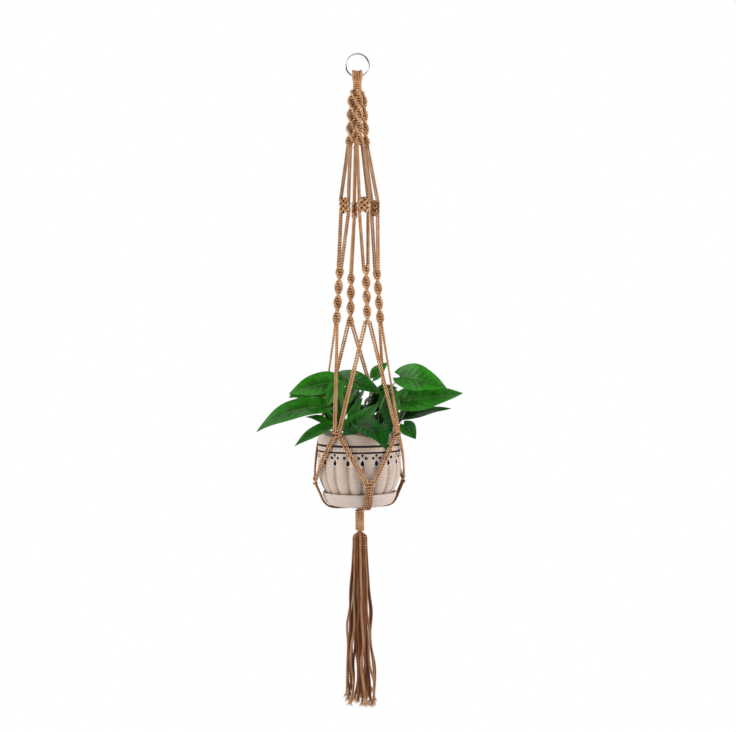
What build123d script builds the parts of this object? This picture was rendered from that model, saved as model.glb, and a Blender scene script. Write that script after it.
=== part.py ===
from build123d import *
import os
from math import cos, pi, radians, sin, sqrt, tan

# Millimetres, +Z up. The origin is the hook seat, the highest point of the ring's inside.
# Azimuths are in degrees from the front (-Y), towards +X.

# Cord
cord_d = 3.2
cord_sides = 6
lay_gap = 0.2
wrap_cord_d = 2.8
wrap_gap = 0.45
wrap_clear = 0.25
running_clear = 0.3
bend_share = 0.45
cut_over = 1.0

# Hanging ring
ring_r = 18.5
ring_wire_d = 3.0

# Fold of the cords over the ring, and the wrapped neck under it
fold_half_width = 8.5
fold_thickness = 5.0
fold_bumps = 4
fold_bump_depth = 0.8
fold_step_deg = 30
neck_drop = 5.6
neck_core_r = 4.0
neck_wrap_turns = 4
neck_flare_h = 2.4
neck_flare_r = 11.5

# Sinnets: columns of half knots that turn as they are tied, one in each quarter of the hanger
quarter_count = 4
upper_azimuth = 14.0
lower_azimuth = 22.0
facing_turns = (0.0, 0.0, 80.0, 0.0)
half_knot_turn = 36.0
sinnet_width = 13.0
sinnet_depth = 7.0
knot_groove = 0.78
upper_knot_pitch = 4.4
upper_half_knots = 20
upper_top_r = 8.6
upper_bottom_r = 14.0
lower_knot_pitch = 4.65
lower_half_knots = (20, 20, 18, 20)
lower_top_r = 31.5
lower_bottom_r = 38.2

# Band of square knots between the sinnets
upper_strand_len = 86.0
middle_strand_len = 85.4
band_knot_w = 24.0
band_knot_d = 9.0
band_knot_h = 21.6
band_knot_rows = 4
band_knot_r = 29.0
band_azimuths = (18.4, 108.4, 192.4, 314.0)
band_pair_half = 6.7

# Net over the pot
net_strand_len = 166.0
rim_azimuths = (-28.0, 56.0, 146.0, 238.0)
rim_knot_w = 16.6
rim_knot_d = 8.4
rim_knot_h = 12.0
rim_knot_rows = 2
rim_over_knot = 6.8
cradle_azimuth = 13.2
cradle_knot_w = 16.6
cradle_knot_d = 7.0
cradle_knot_h = 10.0
cradle_knot_rows = 2
net_gap = 1.0
cradle_points = 5
cradle_tuck = 6.4
cradle_to_saucer = 35.0

# Saucer
saucer_clear = 1.1
saucer_foot_clear = 3.5
saucer_h = 22.0
saucer_wall = 3.2
saucer_floor = 3.5
saucer_bulge = 3.6
saucer_inner_lift = 1.9

# Cords under the saucer: where they stand off its rim, side and corner, and run in below it
cord_clear = 0.5
under_rim_out = 3.5
under_rim_drop = 1.0
under_side_in = 2.6
under_side_up = 6.6
under_corner_out = 4.5
under_corner_up = 0.4
under_middle_r = 29.0
under_inner_r = 15.8
under_sag = 0.6
under_inner_sag = 0.4

# Pot
pot_h = 113.0
pot_rim_r = 66.3
pot_belly_r = 67.2
pot_foot_r = 41.0
pot_wall = 5.0
pot_floor = 6.0
pot_collar_h = 30.0
pot_belly_up = 57.0
pot_belly_power = 2.0
pot_belly_rings = (0.0, 0.16, 0.36, 0.64, 1.0)
pot_lobes = 18
pot_lobe_depth = 2.6
pot_lobe_azimuth = -5.4
pot_clear = 0.7
rim_waves = 6
rim_wave_depth = 5.0
rim_wave_r = 48.0
rim_dip_azimuth = 23.0
soil_below_rim = 17.0
soil_clear = 0.2

# Base wrap and tassel
base_core_r = 4.25
base_wrap_turns = 10
base_taper = 3.0
tassel_pivot_up = 2.5
tassel_ball_clear = 0.4
tassel_neck_r = 3.3
tassel_neck_len = 6.0
tassel_flare_len = 7.0
tassel_rows = 3
tassel_head_lip = 1.5

# Plant
leaf_t = 1.2
leaf_fold = 0.22
petiole_d = 2.4
petiole_lean = 0.3
petiole_rise = 0.7

# Levels, each hung from the one above it
ring_z = -(ring_r - ring_wire_d / 2)
wire_z = ring_z - ring_r
wrap_pitch = wrap_cord_d + wrap_gap
neck_top = wire_z - neck_drop
neck_bottom = neck_top - neck_wrap_turns * wrap_pitch - wrap_cord_d
upper_top = neck_bottom - neck_flare_h
upper_bottom = upper_top - upper_half_knots * upper_knot_pitch
band_top = upper_bottom - upper_strand_len
band_bottom = band_top - band_knot_h
lower_top = band_bottom - middle_strand_len
lower_bottom = lower_top - max(lower_half_knots) * lower_knot_pitch
rim_knot_top = lower_bottom - net_strand_len
rim_knot_bottom = rim_knot_top - rim_knot_h
pot_rim = rim_knot_bottom + rim_over_knot
pot_bottom = pot_rim - pot_h
saucer_bottom = pot_bottom - saucer_floor - running_clear
saucer_rim = saucer_bottom + saucer_h
cradle_knot_top = saucer_bottom + cradle_to_saucer + cradle_knot_h
cradle_knot_bottom = cradle_knot_top - cradle_knot_h
soil_top = pot_rim - soil_below_rim

# Radii that follow from the pot and the cord
cord_pitch = cord_d + lay_gap
net_pitch = cord_d + net_gap
tassel_head_r = (tassel_rows - 0.5) * cord_pitch + cord_d / 2
rim_knot_r = pot_rim_r + pot_clear + pot_clear + rim_knot_d / 2
cradle_knot_r = pot_belly_r + pot_clear + pot_clear + cradle_knot_d / 2
upright = (Align.CENTER, Align.CENTER, Align.MIN)
quarter_turn = 360 / quarter_count


def outward(azimuth):
    """Unit vector from the axis towards an azimuth."""
    return Vector(sin(radians(azimuth)), -cos(radians(azimuth)), 0)


def across(azimuth):
    """Unit vector square to outward, towards rising azimuth."""
    return Vector(cos(radians(azimuth)), sin(radians(azimuth)), 0)


def place(radius, azimuth, z, offset=0.0, turn=0.0):
    """Point at a radius and height, moved by offset to the side, or in a row turned from that."""
    return outward(azimuth) * radius + across(azimuth + turn) * offset + Vector(0, 0, z)


def ruled(sections):
    """Solid through closed polygons, with straight sides from each to the next."""
    return Solid.make_loft([Wire.make_polygon(points) for points in sections], True)


def faceted(sections):
    """Solid through closed polygons that turn or bend, each side of a step as two flat triangles."""
    corners = []
    for upper, lower in zip(sections, sections[1:]):
        for i in range(len(upper)):
            j = (i + 1) % len(upper)
            corners.append([upper[i], upper[j], lower[j]])
            corners.append([upper[i], lower[j], lower[i]])
    outlines = [sections[0], sections[-1]] + corners
    return Solid(Shell([Face(Wire.make_polygon(points)) for points in outlines]))


def flat_polygon(centre, radius, start_deg=0.0):
    """Corners of a level cord section."""
    steps = [radians(start_deg + 360 * i / cord_sides) for i in range(cord_sides)]
    return [centre + Vector(radius * cos(a), radius * sin(a), 0) for a in steps]


def straight_cord(top, bottom):
    """Taut strand whose ends are cut level, to meet the knots face to face."""
    return ruled([flat_polygon(top, cord_d / 2), flat_polygon(bottom, cord_d / 2)])


def bend_radii(points):
    """Largest arc that each corner's shorter run allows."""
    radii = []
    for before, corner, after in zip(points, points[1:], points[2:]):
        first = corner - before
        second = after - corner
        half_turn = radians(first.get_angle(second)) / 2
        radii.append(bend_share * min(first.length, second.length) / tan(half_turn))
    return radii


tightest_bends = {}


def bent_cord(points, diameter, family):
    """Tube on straight runs joined by tangent arcs."""
    radii = bend_radii(points)
    tightest_bends[family] = min(radii + [tightest_bends.get(family, radii[0])])
    path = FilletPolyline(*points, radius=radii)
    start = Plane(points[0], z_dir=points[1] - points[0])
    return sweep(start * RegularPolygon(diameter / 2, cord_sides), path=path)


def cut_level(solid, z, keep):
    """Trim a strand where it meets a knot's level face."""
    return split(solid, bisect_by=Plane.XY.offset(z), keep=keep)


def knot_column(top, bottom, azimuth, width, depth, knots, turn=0.0):
    """Column of knots: level stadium sections, full at each knot and drawn in between them."""
    sections = []
    for i in range(2 * knots + 1):
        part = i / (2 * knots)
        size = knot_groove if i % 2 else 1.0
        angle = azimuth + turn * knots * part
        half_w = across(angle) * (size * width / 2)
        half_d = outward(angle) * (size * depth / 2)
        centre = top + (bottom - top) * part
        corners = ((1, 0), (0.5, -1), (-0.5, -1), (-1, 0), (-0.5, 1), (0.5, 1))
        sections.append([centre + half_w * u + half_d * v for u, v in corners])
    return faceted(sections)


def helix_point(radius, z_top, angle):
    """Point and unit direction on a wrap's centre line, angle in radians."""
    drop = wrap_pitch / (2 * pi)
    point = Vector(radius * cos(angle), radius * sin(angle), z_top - drop * angle)
    direction = Vector(-radius * sin(angle), radius * cos(angle), -drop)
    return point, direction.normalized()


def biarc(start, start_dir, end, end_dir):
    """Two arcs, tangent to each other and to the directions at both ends."""
    chord = end - start
    total = start_dir + end_dir
    spread = 2 * (1 - start_dir.dot(end_dir))
    reach = chord.dot(total)
    arm = (sqrt(reach * reach + spread * chord.dot(chord)) - reach) / spread
    middle = (start + start_dir * arm + end - end_dir * arm) * 0.5
    first = TangentArc(start, middle, tangent=start_dir)
    return [first, TangentArc(middle, end, tangent=first % 1)]


def least_wrap_gap(radius, turns):
    """Smallest distance from a wrap to itself, on points, at least half a turn apart."""
    per_turn = 36
    points = [helix_point(radius, 0, 2 * pi * i / per_turn)[0] for i in range(turns * per_turn)]
    span = range(per_turn // 2, 3 * per_turn // 2)
    distances = [(points[0] - points[i]).length for i in span]
    return min(distances) - wrap_cord_d


def cord_wrap(core_r, z_top, turns):
    """Cord wound round a core, one unbroken tube with straight ends one diameter long."""
    radius = core_r + wrap_clear + wrap_cord_d / 2
    z_start = z_top - wrap_cord_d / 2
    steps = [helix_point(radius, z_start, pi / 2 * i) for i in range(4 * turns + 1)]
    first_point, first_dir = steps[0]
    last_point, last_dir = steps[-1]
    edges = [Line(first_point - first_dir * wrap_cord_d, first_point)]
    for (start, start_dir), (end, end_dir) in zip(steps, steps[1:]):
        edges += biarc(start, start_dir, end, end_dir)
    edges.append(Line(last_point, last_point + last_dir * wrap_cord_d))
    print("least gap of a wrap to itself", round(least_wrap_gap(radius, turns), 2), "mm")
    begin = Plane(first_point - first_dir * wrap_cord_d, z_dir=first_dir)
    return sweep(begin * RegularPolygon(wrap_cord_d / 2, cord_sides), path=Wire(edges))


def wire_top(x):
    """Height of the wire's upper side over its lowest centre, at a distance to the side."""
    inner_r = ring_r - ring_wire_d / 2
    return ring_r - sqrt(inner_r * inner_r - x * x)


def fold_section(angle_deg):
    """Section of the folded cords, square to the way they pass over the ring's wire."""
    inner = []
    for part in (-1, -0.5, 0, 0.5, 1):
        x = part * fold_half_width
        inner.append((x, (wire_top(x) + running_clear) / cos(radians(fold_step_deg / 2))))
    crest = max(r for _, r in inner) + fold_thickness
    outer = []
    for i in range(2 * fold_bumps + 1):
        x = fold_half_width * (1 - i / fold_bumps)
        outer.append((x, crest - (0 if i % 2 else fold_bump_depth)))
    a = radians(angle_deg)
    return [Vector(x, -r * cos(a), wire_z + r * sin(a)) for x, r in inner + outer]


def neck_half(side):
    """Half of the neck's round section, with its corners in the order of a fold section."""
    middle = side * lay_gap / 2
    inner = [Vector(part * neck_core_r, middle, neck_top) for part in (-1, -0.5, 0, 0.5, 1)]
    outer = []
    for i in range(2 * fold_bumps + 1):
        a = pi * i / (2 * fold_bumps)
        y = side * (neck_core_r * sin(a) + lay_gap)
        outer.append(Vector(neck_core_r * cos(a), y, neck_top))
    return inner + outer


def cord_fold():
    """Cords folded over the ring, gathered to a round core and spread again below the neck."""
    arch = [fold_section(a) for a in range(-fold_step_deg, 181 + fold_step_deg, fold_step_deg)]
    fold = ruled([neck_half(-1)] + arch + [neck_half(1)])
    core_h = neck_top - neck_bottom
    core = Cylinder(neck_core_r, core_h, align=upright)
    flare = Cone(neck_flare_r, neck_core_r, neck_flare_h, align=upright)
    pieces = [Part() + fold, Pos(0, 0, neck_bottom) * core, Pos(0, 0, upper_top) * flare]
    return Part() + pieces


def lobe_ring(radius, depth, z):
    """Closed ring of arcs, one for each lobe of the pot, with valleys between them."""
    edges = []
    for i in range(pot_lobes):
        step = 360 / pot_lobes
        crest = pot_lobe_azimuth + step * i
        ends = [place(radius - depth, crest + step * side, z) for side in (-0.5, 0.5)]
        edges.append(ThreePointArc(ends[0], place(radius, crest, z), ends[1]))
    return Wire(edges)


def pot_radius(height):
    """Outer radius of the pot over its lobes, from its foot up."""
    collar = pot_h - pot_collar_h
    if height >= collar:
        return pot_rim_r
    if height >= pot_belly_up:
        part = (height - pot_belly_up) / (collar - pot_belly_up)
        return pot_belly_r + (pot_rim_r - pot_belly_r) * part * part
    part = 1 - height / pot_belly_up
    return pot_belly_r - (pot_belly_r - pot_foot_r) * part**pot_belly_power


saucer_rim_r = pot_radius(saucer_rim - pot_bottom) + saucer_clear + saucer_wall
saucer_base_r = pot_foot_r + saucer_foot_clear - saucer_floor / 2


def pot_inside(clearance):
    """Half profile of the hollow in the pot, for a revolve."""
    floor = pot_bottom + pot_floor
    foot = pot_foot_r - pot_wall - pot_lobe_depth
    belly = pot_belly_r - pot_wall - pot_lobe_depth
    rim = pot_rim_r - pot_wall
    levels = [
        (0, floor + clearance),
        (foot - clearance, floor + clearance),
        (belly - clearance, pot_bottom + pot_belly_up),
        (rim - clearance, pot_rim - pot_collar_h),
    ]
    return [Vector(r, 0, z) for r, z in levels]


def turned(points):
    """Solid of revolution about the object's axis."""
    return revolve(make_face(Polyline(*points, close=True)), axis=Axis.Z)


def pot():
    """Slip-cast pot: round collar over a lobed belly, with dips cut into its rim."""
    collar = pot_h - pot_collar_h
    heights = [pot_belly_up * share for share in pot_belly_rings]
    heights += [(pot_belly_up + collar) / 2, collar, pot_h]
    rings = []
    for height in heights:
        depth = pot_lobe_depth if height < collar else 0
        rings.append(lobe_ring(pot_radius(height), depth, pot_bottom + height))
    body = Solid.make_loft(rings, True)
    mouth = pot_rim_r - pot_wall
    over = pot_rim + cut_over
    hollow = pot_inside(0) + [Vector(mouth, 0, over), Vector(0, 0, over)]
    body = body - turned(hollow)
    for k in range(rim_waves):
        azimuth = rim_dip_azimuth + 360 / rim_waves * k
        start = place(0, azimuth, pot_rim - rim_wave_depth + rim_wave_r)
        scoop = Cylinder(rim_wave_r, 2 * pot_rim_r, align=upright)
        body = body - Plane(start, z_dir=outward(azimuth)) * scoop
    return body


def soil():
    """Potting soil, level on top, filling the pot to below its rim."""
    top_r = pot_rim_r - pot_wall - soil_clear
    return turned(pot_inside(soil_clear) + [Vector(top_r, 0, soil_top), Vector(0, 0, soil_top)])


def saucer():
    """Dish under the pot, with a rounded side and a plain rim."""
    middle_r = (saucer_rim_r + saucer_base_r) / 2 + saucer_bulge
    middle = Vector(middle_r, 0, saucer_bottom + saucer_h / 2 - saucer_bulge)
    inner_middle = middle + Vector(-saucer_wall, 0, saucer_inner_lift)
    base = Vector(saucer_base_r, 0, saucer_bottom)
    rim = Vector(saucer_rim_r, 0, saucer_rim)
    inner_rim = Vector(saucer_rim_r - saucer_wall, 0, saucer_rim)
    inner_base = Vector(saucer_base_r + saucer_floor / 2, 0, saucer_bottom + saucer_floor)
    centre = Vector(0, 0, saucer_bottom)
    edges = [
        Line(centre, base),
        ThreePointArc(base, middle, rim),
        Line(rim, inner_rim),
        ThreePointArc(inner_rim, inner_middle, inner_base),
        Line(inner_base, Vector(0, 0, saucer_bottom + saucer_floor)),
        Line(Vector(0, 0, saucer_bottom + saucer_floor), centre),
    ]
    return revolve(make_face(Wire(edges)), axis=Axis.Z)


def row(pitch):
    """Sideways places of four strands that lie side by side."""
    return [pitch * step for step in (-1.5, -0.5, 0.5, 1.5)]


def pairs(half, pitch):
    """Sideways places of four strands that lie in two pairs."""
    return [side * half + step * pitch for side in (-1, 1) for step in (-0.5, 0.5)]


def lower_top_of(k):
    """Top of one lower sinnet: all end level, and the one with fewer knots starts lower."""
    part = lower_half_knots[k] / max(lower_half_knots)
    z = lower_bottom + lower_half_knots[k] * lower_knot_pitch
    return lower_bottom_r + (lower_top_r - lower_bottom_r) * part, z


def upper_strands():
    """Sixteen strands from the upper sinnets to the band knots."""
    strands = []
    for k, turn in enumerate(facing_turns):
        azimuth = upper_azimuth + quarter_turn * k
        for start, end in zip(row(cord_pitch), pairs(band_pair_half, cord_pitch)):
            top = place(upper_bottom_r, azimuth, upper_bottom, start, turn)
            strands.append(straight_cord(top, place(band_knot_r, band_azimuths[k], band_top, end, turn)))
    return strands


def middle_strands():
    """Sixteen strands from the band knots to the lower sinnets."""
    strands = []
    for k, turn in enumerate(facing_turns):
        azimuth = lower_azimuth + quarter_turn * k
        radius, z = lower_top_of(k)
        for start, end in zip(pairs(band_pair_half, cord_pitch), row(cord_pitch)):
            top = place(band_knot_r, band_azimuths[k], band_bottom, start, turn)
            strands.append(straight_cord(top, place(radius, azimuth, z, end, turn)))
    return strands


def net_strands(k):
    """Four taut strands to one rim knot, two from the sinnet on each side of it."""
    offsets = row(net_pitch)
    strands = []
    for i, offset in enumerate(offsets):
        sinnet_azimuth = lower_azimuth + quarter_turn * (k - 1 if i < 2 else k)
        start = place(lower_bottom_r, sinnet_azimuth, lower_bottom, offsets[(i + 2) % 4])
        end = place(rim_knot_r, rim_azimuths[k], rim_knot_top, offset)
        strands.append(straight_cord(start, end))
    return strands


def cradle_route(k, i):
    """Route of one strand over the pot's belly, from a rim knot to the cradle knot beside it."""
    offsets = row(net_pitch)
    towards = cradle_azimuth + quarter_turn * (k - 1 if i < 2 else k)
    start = rim_azimuths[k] + offsets[i] / rim_knot_r * 180 / pi
    end = towards + offsets[(i + 2) % 4] / cradle_knot_r * 180 / pi
    drop = rim_knot_bottom - cradle_knot_top + 2 * cradle_tuck
    points = []
    for step in range(cradle_points):
        part = step / (cradle_points - 1)
        z = rim_knot_bottom + cradle_tuck - drop * part
        depth = rim_knot_d + (cradle_knot_d - rim_knot_d) * part
        radius = pot_radius(z - pot_bottom) + pot_clear + pot_clear + depth / 2
        points.append(place(radius, start + (end - start) * part, z))
    return points


def cradle_strands(k):
    """Four strands from one rim knot, two to each cradle knot, trimmed at the knots."""
    strands = []
    for i in range(len(row(net_pitch))):
        strand = bent_cord(cradle_route(k, i), cord_d, "cradle strands")
        strand = cut_level(strand, rim_knot_bottom, Keep.BOTTOM)
        strands.append(cut_level(strand, cradle_knot_top, Keep.TOP))
    return strands


def base_half():
    """Half the side of the square gather that the under strands run into."""
    return 2 * cord_pitch + lay_gap


def under_level():
    """Height of the under strands' centre line below the saucer."""
    return saucer_bottom - cord_clear - cord_d / 2


def under_strands(azimuth):
    """Flat bundle of four strands, round the saucer's side and under it to the gather."""
    level = under_level()
    side = cord_d / 2 + cord_clear
    route = [
        (cradle_knot_r, cradle_knot_bottom + cord_d),
        (saucer_rim_r + side + under_rim_out, saucer_rim - under_rim_drop),
        (saucer_rim_r + side - under_side_in, saucer_bottom + under_side_up),
        (saucer_base_r + side + under_corner_out, saucer_bottom - side + under_corner_up),
        (under_middle_r, level - under_sag),
        (under_inner_r, level - under_inner_sag),
        (base_half(), level - under_inner_sag),
    ]
    strands = []
    for offset in row(cord_pitch):
        points = [place(r, azimuth, z, offset) for r, z in route]
        strand = bent_cord(points, cord_d, "under strands")
        strands.append(cut_level(strand, cradle_knot_bottom, Keep.BOTTOM))
    return strands


gather_bottom = under_level() - under_inner_sag - cord_d / 2 - lay_gap
base_wrap_top = gather_bottom - base_taper
base_wrap_bottom = base_wrap_top - base_wrap_turns * wrap_pitch - wrap_cord_d
tassel_pivot = base_wrap_bottom + tassel_pivot_up
tassel_ball_r = base_core_r + wrap_clear - tassel_ball_clear
tassel_top = tassel_pivot - tassel_neck_len - tassel_flare_len - tassel_head_lip


def base_gather():
    """Strands gathered under the saucer: a square crossing, drawn in to a round core."""
    top = saucer_bottom - cord_clear
    side = 2 * base_half()
    square = Plane((0, 0, gather_bottom)) * Rot(0, 0, cradle_azimuth) * Rectangle(side, side)
    block = extrude(square, top - gather_bottom)
    throat = loft([Plane((0, 0, base_wrap_top)) * Circle(base_core_r), square])
    core_bottom = tassel_pivot + tassel_ball_r + tassel_ball_clear
    core = Cylinder(base_core_r, base_wrap_top - core_bottom, align=upright)
    return block + throat + Pos(0, 0, core_bottom) * core


def tassel_head():
    """Head of the tassel: a ball that turns in the wrap's mouth, a neck and a flare."""
    ball_end = sqrt(tassel_ball_r**2 - tassel_neck_r**2)
    flare_top = tassel_pivot - tassel_neck_len
    lip_top = flare_top - tassel_flare_len
    top = Vector(0, 0, tassel_pivot + tassel_ball_r)
    shoulder = Vector(tassel_ball_r, 0, tassel_pivot)
    waist = Vector(tassel_neck_r, 0, tassel_pivot - ball_end)
    outline = [
        waist,
        Vector(tassel_neck_r, 0, flare_top),
        Vector(tassel_head_r, 0, lip_top),
        Vector(tassel_head_r, 0, tassel_top),
        Vector(0, 0, tassel_top),
        top,
    ]
    edges = [ThreePointArc(top, shoulder, waist), *Polyline(*outline).edges()]
    return revolve(make_face(Wire(edges)), axis=Axis.Z)


# Tassel strands: direction at the top, turn on the way down, row from the middle, radius at the tip,
# length
tassel_strand_list = (
    (4, 6, 2, 20.5, 262),
    (30, -4, 2, 18.5, 268),
    (55, 4, 2, 21.0, 271),
    (81, 6, 2, 23.0, 270),
    (107, -4, 2, 21.5, 264),
    (132, 5, 2, 19.0, 266),
    (158, -3, 2, 18.0, 259),
    (184, 3, 2, 20.0, 262),
    (210, -5, 2, 19.0, 266),
    (235, -4, 2, 21.5, 263),
    (261, 5, 2, 23.5, 257),
    (287, -5, 2, 22.0, 260),
    (312, -2, 2, 19.5, 268),
    (338, 4, 2, 18.5, 265),
    (22, 12, 1, 13.0, 267),
    (67, 8, 1, 11.5, 270),
    (112, 14, 1, 13.5, 265),
    (157, 9, 1, 11.0, 262),
    (202, 12, 1, 12.5, 268),
    (247, 10, 1, 13.5, 264),
    (292, 15, 1, 11.5, 261),
    (337, 9, 1, 12.5, 269),
    (0, 20, 0, 4.5, 267),
    (180, 26, 0, 5.5, 263),
)
tassel_stations = (0.0, 0.09, 0.26, 0.45, 0.64, 0.83, 1.0)


def tassel_route(strand):
    """Route of one tassel strand: it leaves the bundle and falls in a long gentle bend."""
    azimuth, turn, row_number, tip_r, length = strand
    top_r = (row_number + 0.5) * cord_pitch
    points = []
    for part in tassel_stations:
        radius = top_r + (tip_r - top_r) * sin(part * pi / 2) ** 1.2
        points.append(place(radius, azimuth + turn * part, tassel_top - length * part))
    return points


def tassel_strand(strand):
    """One strand of the tassel, trimmed level under the head."""
    tube = bent_cord(tassel_route(strand), cord_d, "tassel strands")
    return cut_level(tube, tassel_top, Keep.BOTTOM)


# Leaves: root in the soil (x, y), then base and tip (x, y, z) from the centre of the pot's rim,
# width, roll about the midrib in degrees, and rise of the midrib's arch
leaf_list = (
    ((-30, -8), (-53.4, -30, 39.7), (-158.3, -62, 4.6), 56, -46, 20),
    ((-38, -22), (-44, -38, 12), (-99, -68, -17.2), 30, -40, 6),
    ((-24, -2), (-37, -4, 80.5), (-111.6, -14, 61.8), 54, -66, 7),
    ((-22, -14), (-29.8, -24, 77.3), (-50.8, -36, 42.3), 34, -55, 6),
    ((-30, 10), (-29.5, 0, 87.5), (37.6, -8, 59.3), 42, 64, 12),
    ((12, 10), (23.4, 18, 86), (47, 18, 111), 30, 60, 3),
    ((-6, -16), (-12.4, -12, 17.4), (5.7, -8, 54.9), 26, 50, 4),
    ((-8, -34), (-20.4, -37, 5), (30.2, -34, 46.5), 42, 66, -7),
    ((16, -30), (12, -41, 4), (41.8, -79, -22.9), 54, 12, 12),
    ((26, -4), (65, -10, 88), (138.7, -20, 70), 62, 66, 10),
    ((32, 4), (62.3, -2, 47.6), (165.8, -10, 61.3), 60, 64, 2),
    ((30, 18), (68.6, 20, 20.3), (148.9, 14, 35.9), 32, 40, 4),
    ((42, -8), (71, -6, 12), (90, -14, -11.4), 36, 55, 3),
    ((18, 24), (30.7, 26, 62.3), (62.6, 30, 69.3), 28, 50, 3),
    ((-8, 28), (-12, 52, 42), (-30, 120, 12), 46, 0, 10),
)
leaf_outline = ((0.0, 0.10), (0.10, 0.38), (0.34, 0.50), (0.70, 0.29), (1.0, 0.02))


def from_rim(point):
    """Point of the plant, given from the centre of the pot's rim."""
    x, y, z = point
    return Vector(x, y, pot_rim + z)


def leaf_blade(leaf):
    """Leaf blade: heart outline, folded a little along an arched midrib."""
    _, base, tip, width, roll, arch = leaf
    start = from_rim(base)
    along = from_rim(tip) - start
    axis = Axis(start, along)
    side = along.cross(Vector(0, 0, 1)).normalized().rotate(Axis((0, 0, 0), along), roll)
    up = side.cross(along.normalized())
    sections = []
    for part, share in leaf_outline:
        middle = axis.position + along * part + up * (4 * arch * part * (1 - part))
        half = side * (share * width)
        lift = up * (leaf_fold * share * width)
        skin = up * (leaf_t / 2)
        top = [middle - half + lift + skin, middle + skin, middle + half + lift + skin]
        bottom = [middle + half + lift - skin, middle - skin, middle - half + lift - skin]
        sections.append(top + bottom)
    return faceted(sections)


def petiole(leaf):
    """Leaf stalk: up from the soil, then over to the leaf's base."""
    root, base, tip, _, _, _ = leaf
    start = Vector(root[0], root[1], soil_top)
    end = from_rim(base)
    lean = end - start
    knee = start + Vector(petiole_lean * lean.X, petiole_lean * lean.Y, petiole_rise * lean.Z)
    along = from_rim(tip) - end
    turn = radians(along.get_angle(knee - end))
    beside = max(petiole_d / 2 * sin(turn), (petiole_d + leaf_t) / 2 / tan(turn))
    stop = end - along.normalized() * (running_clear + beside)
    stalk = bent_cord([start, knee, stop], petiole_d, "petioles")
    return cut_level(stalk, soil_top, Keep.TOP)


nodes = {
    "hanging_ring": Pos(0, 0, ring_z) * Rot(90, 0, 0) * Torus(ring_r, ring_wire_d / 2),
    "cord_fold": cord_fold(),
    "neck_wrap": cord_wrap(neck_core_r, neck_top, neck_wrap_turns),
    "upper_strands": upper_strands(),
    "middle_strands": middle_strands(),
    "base_gather": base_gather(),
    "base_wrap": cord_wrap(base_core_r, base_wrap_top, base_wrap_turns),
    "tassel_head": tassel_head(),
    "tassel_strands": [tassel_strand(strand) for strand in tassel_strand_list],
    "pot": pot(),
    "soil": soil(),
    "saucer": saucer(),
    "petioles": [petiole(leaf) for leaf in leaf_list],
}
for k in range(quarter_count):
    number = k + 1
    azimuth = upper_azimuth + quarter_turn * k
    nodes[f"upper_sinnet_{number}"] = knot_column(
        place(upper_top_r, azimuth, upper_top),
        place(upper_bottom_r, azimuth, upper_bottom),
        azimuth + facing_turns[k] - half_knot_turn * upper_half_knots,
        sinnet_width,
        sinnet_depth,
        upper_half_knots,
        half_knot_turn,
    )
    nodes[f"band_knot_{number}"] = knot_column(
        place(band_knot_r, band_azimuths[k], band_top),
        place(band_knot_r, band_azimuths[k], band_bottom),
        band_azimuths[k] + facing_turns[k],
        band_knot_w,
        band_knot_d,
        band_knot_rows,
    )
    azimuth = lower_azimuth + quarter_turn * k
    radius, z = lower_top_of(k)
    nodes[f"lower_sinnet_{number}"] = knot_column(
        place(radius, azimuth, z),
        place(lower_bottom_r, azimuth, lower_bottom),
        azimuth + facing_turns[k],
        sinnet_width,
        sinnet_depth,
        lower_half_knots[k],
        half_knot_turn,
    )
    nodes[f"net_strands_{number}"] = net_strands(k)
    nodes[f"rim_knot_{number}"] = knot_column(
        place(rim_knot_r, rim_azimuths[k], rim_knot_top),
        place(rim_knot_r, rim_azimuths[k], rim_knot_bottom),
        rim_azimuths[k],
        rim_knot_w,
        rim_knot_d,
        rim_knot_rows,
    )
    nodes[f"cradle_strands_{number}"] = cradle_strands(k)
    azimuth = cradle_azimuth + quarter_turn * k
    nodes[f"cradle_knot_{number}"] = knot_column(
        place(cradle_knot_r, azimuth, cradle_knot_top),
        place(cradle_knot_r, azimuth, cradle_knot_bottom),
        azimuth,
        cradle_knot_w,
        cradle_knot_d,
        cradle_knot_rows,
    )
    nodes[f"under_strands_{number}"] = under_strands(azimuth)
for number, leaf in enumerate(leaf_list, 1):
    nodes[f"leaf_{number:02d}"] = leaf_blade(leaf)

os.makedirs("parts", exist_ok=True)
for name, shape in nodes.items():
    whole = Compound(children=shape) if isinstance(shape, list) else shape
    export_step(whole, f"parts/{name}.step")
for family, radius in tightest_bends.items():
    print("tightest bend of the", family, round(radius, 1), "mm")
print("nodes", len(nodes))
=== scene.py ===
import bpy
import numpy as np
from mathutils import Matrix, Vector


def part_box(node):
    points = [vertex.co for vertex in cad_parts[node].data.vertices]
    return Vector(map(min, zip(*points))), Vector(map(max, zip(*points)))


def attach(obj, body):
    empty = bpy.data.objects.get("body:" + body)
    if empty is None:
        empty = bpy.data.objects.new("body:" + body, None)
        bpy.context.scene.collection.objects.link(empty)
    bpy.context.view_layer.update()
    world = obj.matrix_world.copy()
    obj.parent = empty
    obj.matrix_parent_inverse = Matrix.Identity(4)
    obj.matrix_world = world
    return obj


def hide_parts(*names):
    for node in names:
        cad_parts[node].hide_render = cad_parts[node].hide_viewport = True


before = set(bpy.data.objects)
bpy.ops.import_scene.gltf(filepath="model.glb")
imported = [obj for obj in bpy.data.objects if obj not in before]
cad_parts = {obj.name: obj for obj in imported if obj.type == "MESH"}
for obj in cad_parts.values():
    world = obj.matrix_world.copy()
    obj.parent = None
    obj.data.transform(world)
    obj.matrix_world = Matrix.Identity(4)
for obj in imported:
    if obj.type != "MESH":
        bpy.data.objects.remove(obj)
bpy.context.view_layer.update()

# Camera: a 50 mm lens on a 36 mm sensor, level, straight in front of the hanger and just above its
# middle. It leans by a third of a degree, as the photograph does.
camera_place = (0.0146, -1.639, -0.499)
camera_lean = 0.33
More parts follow.
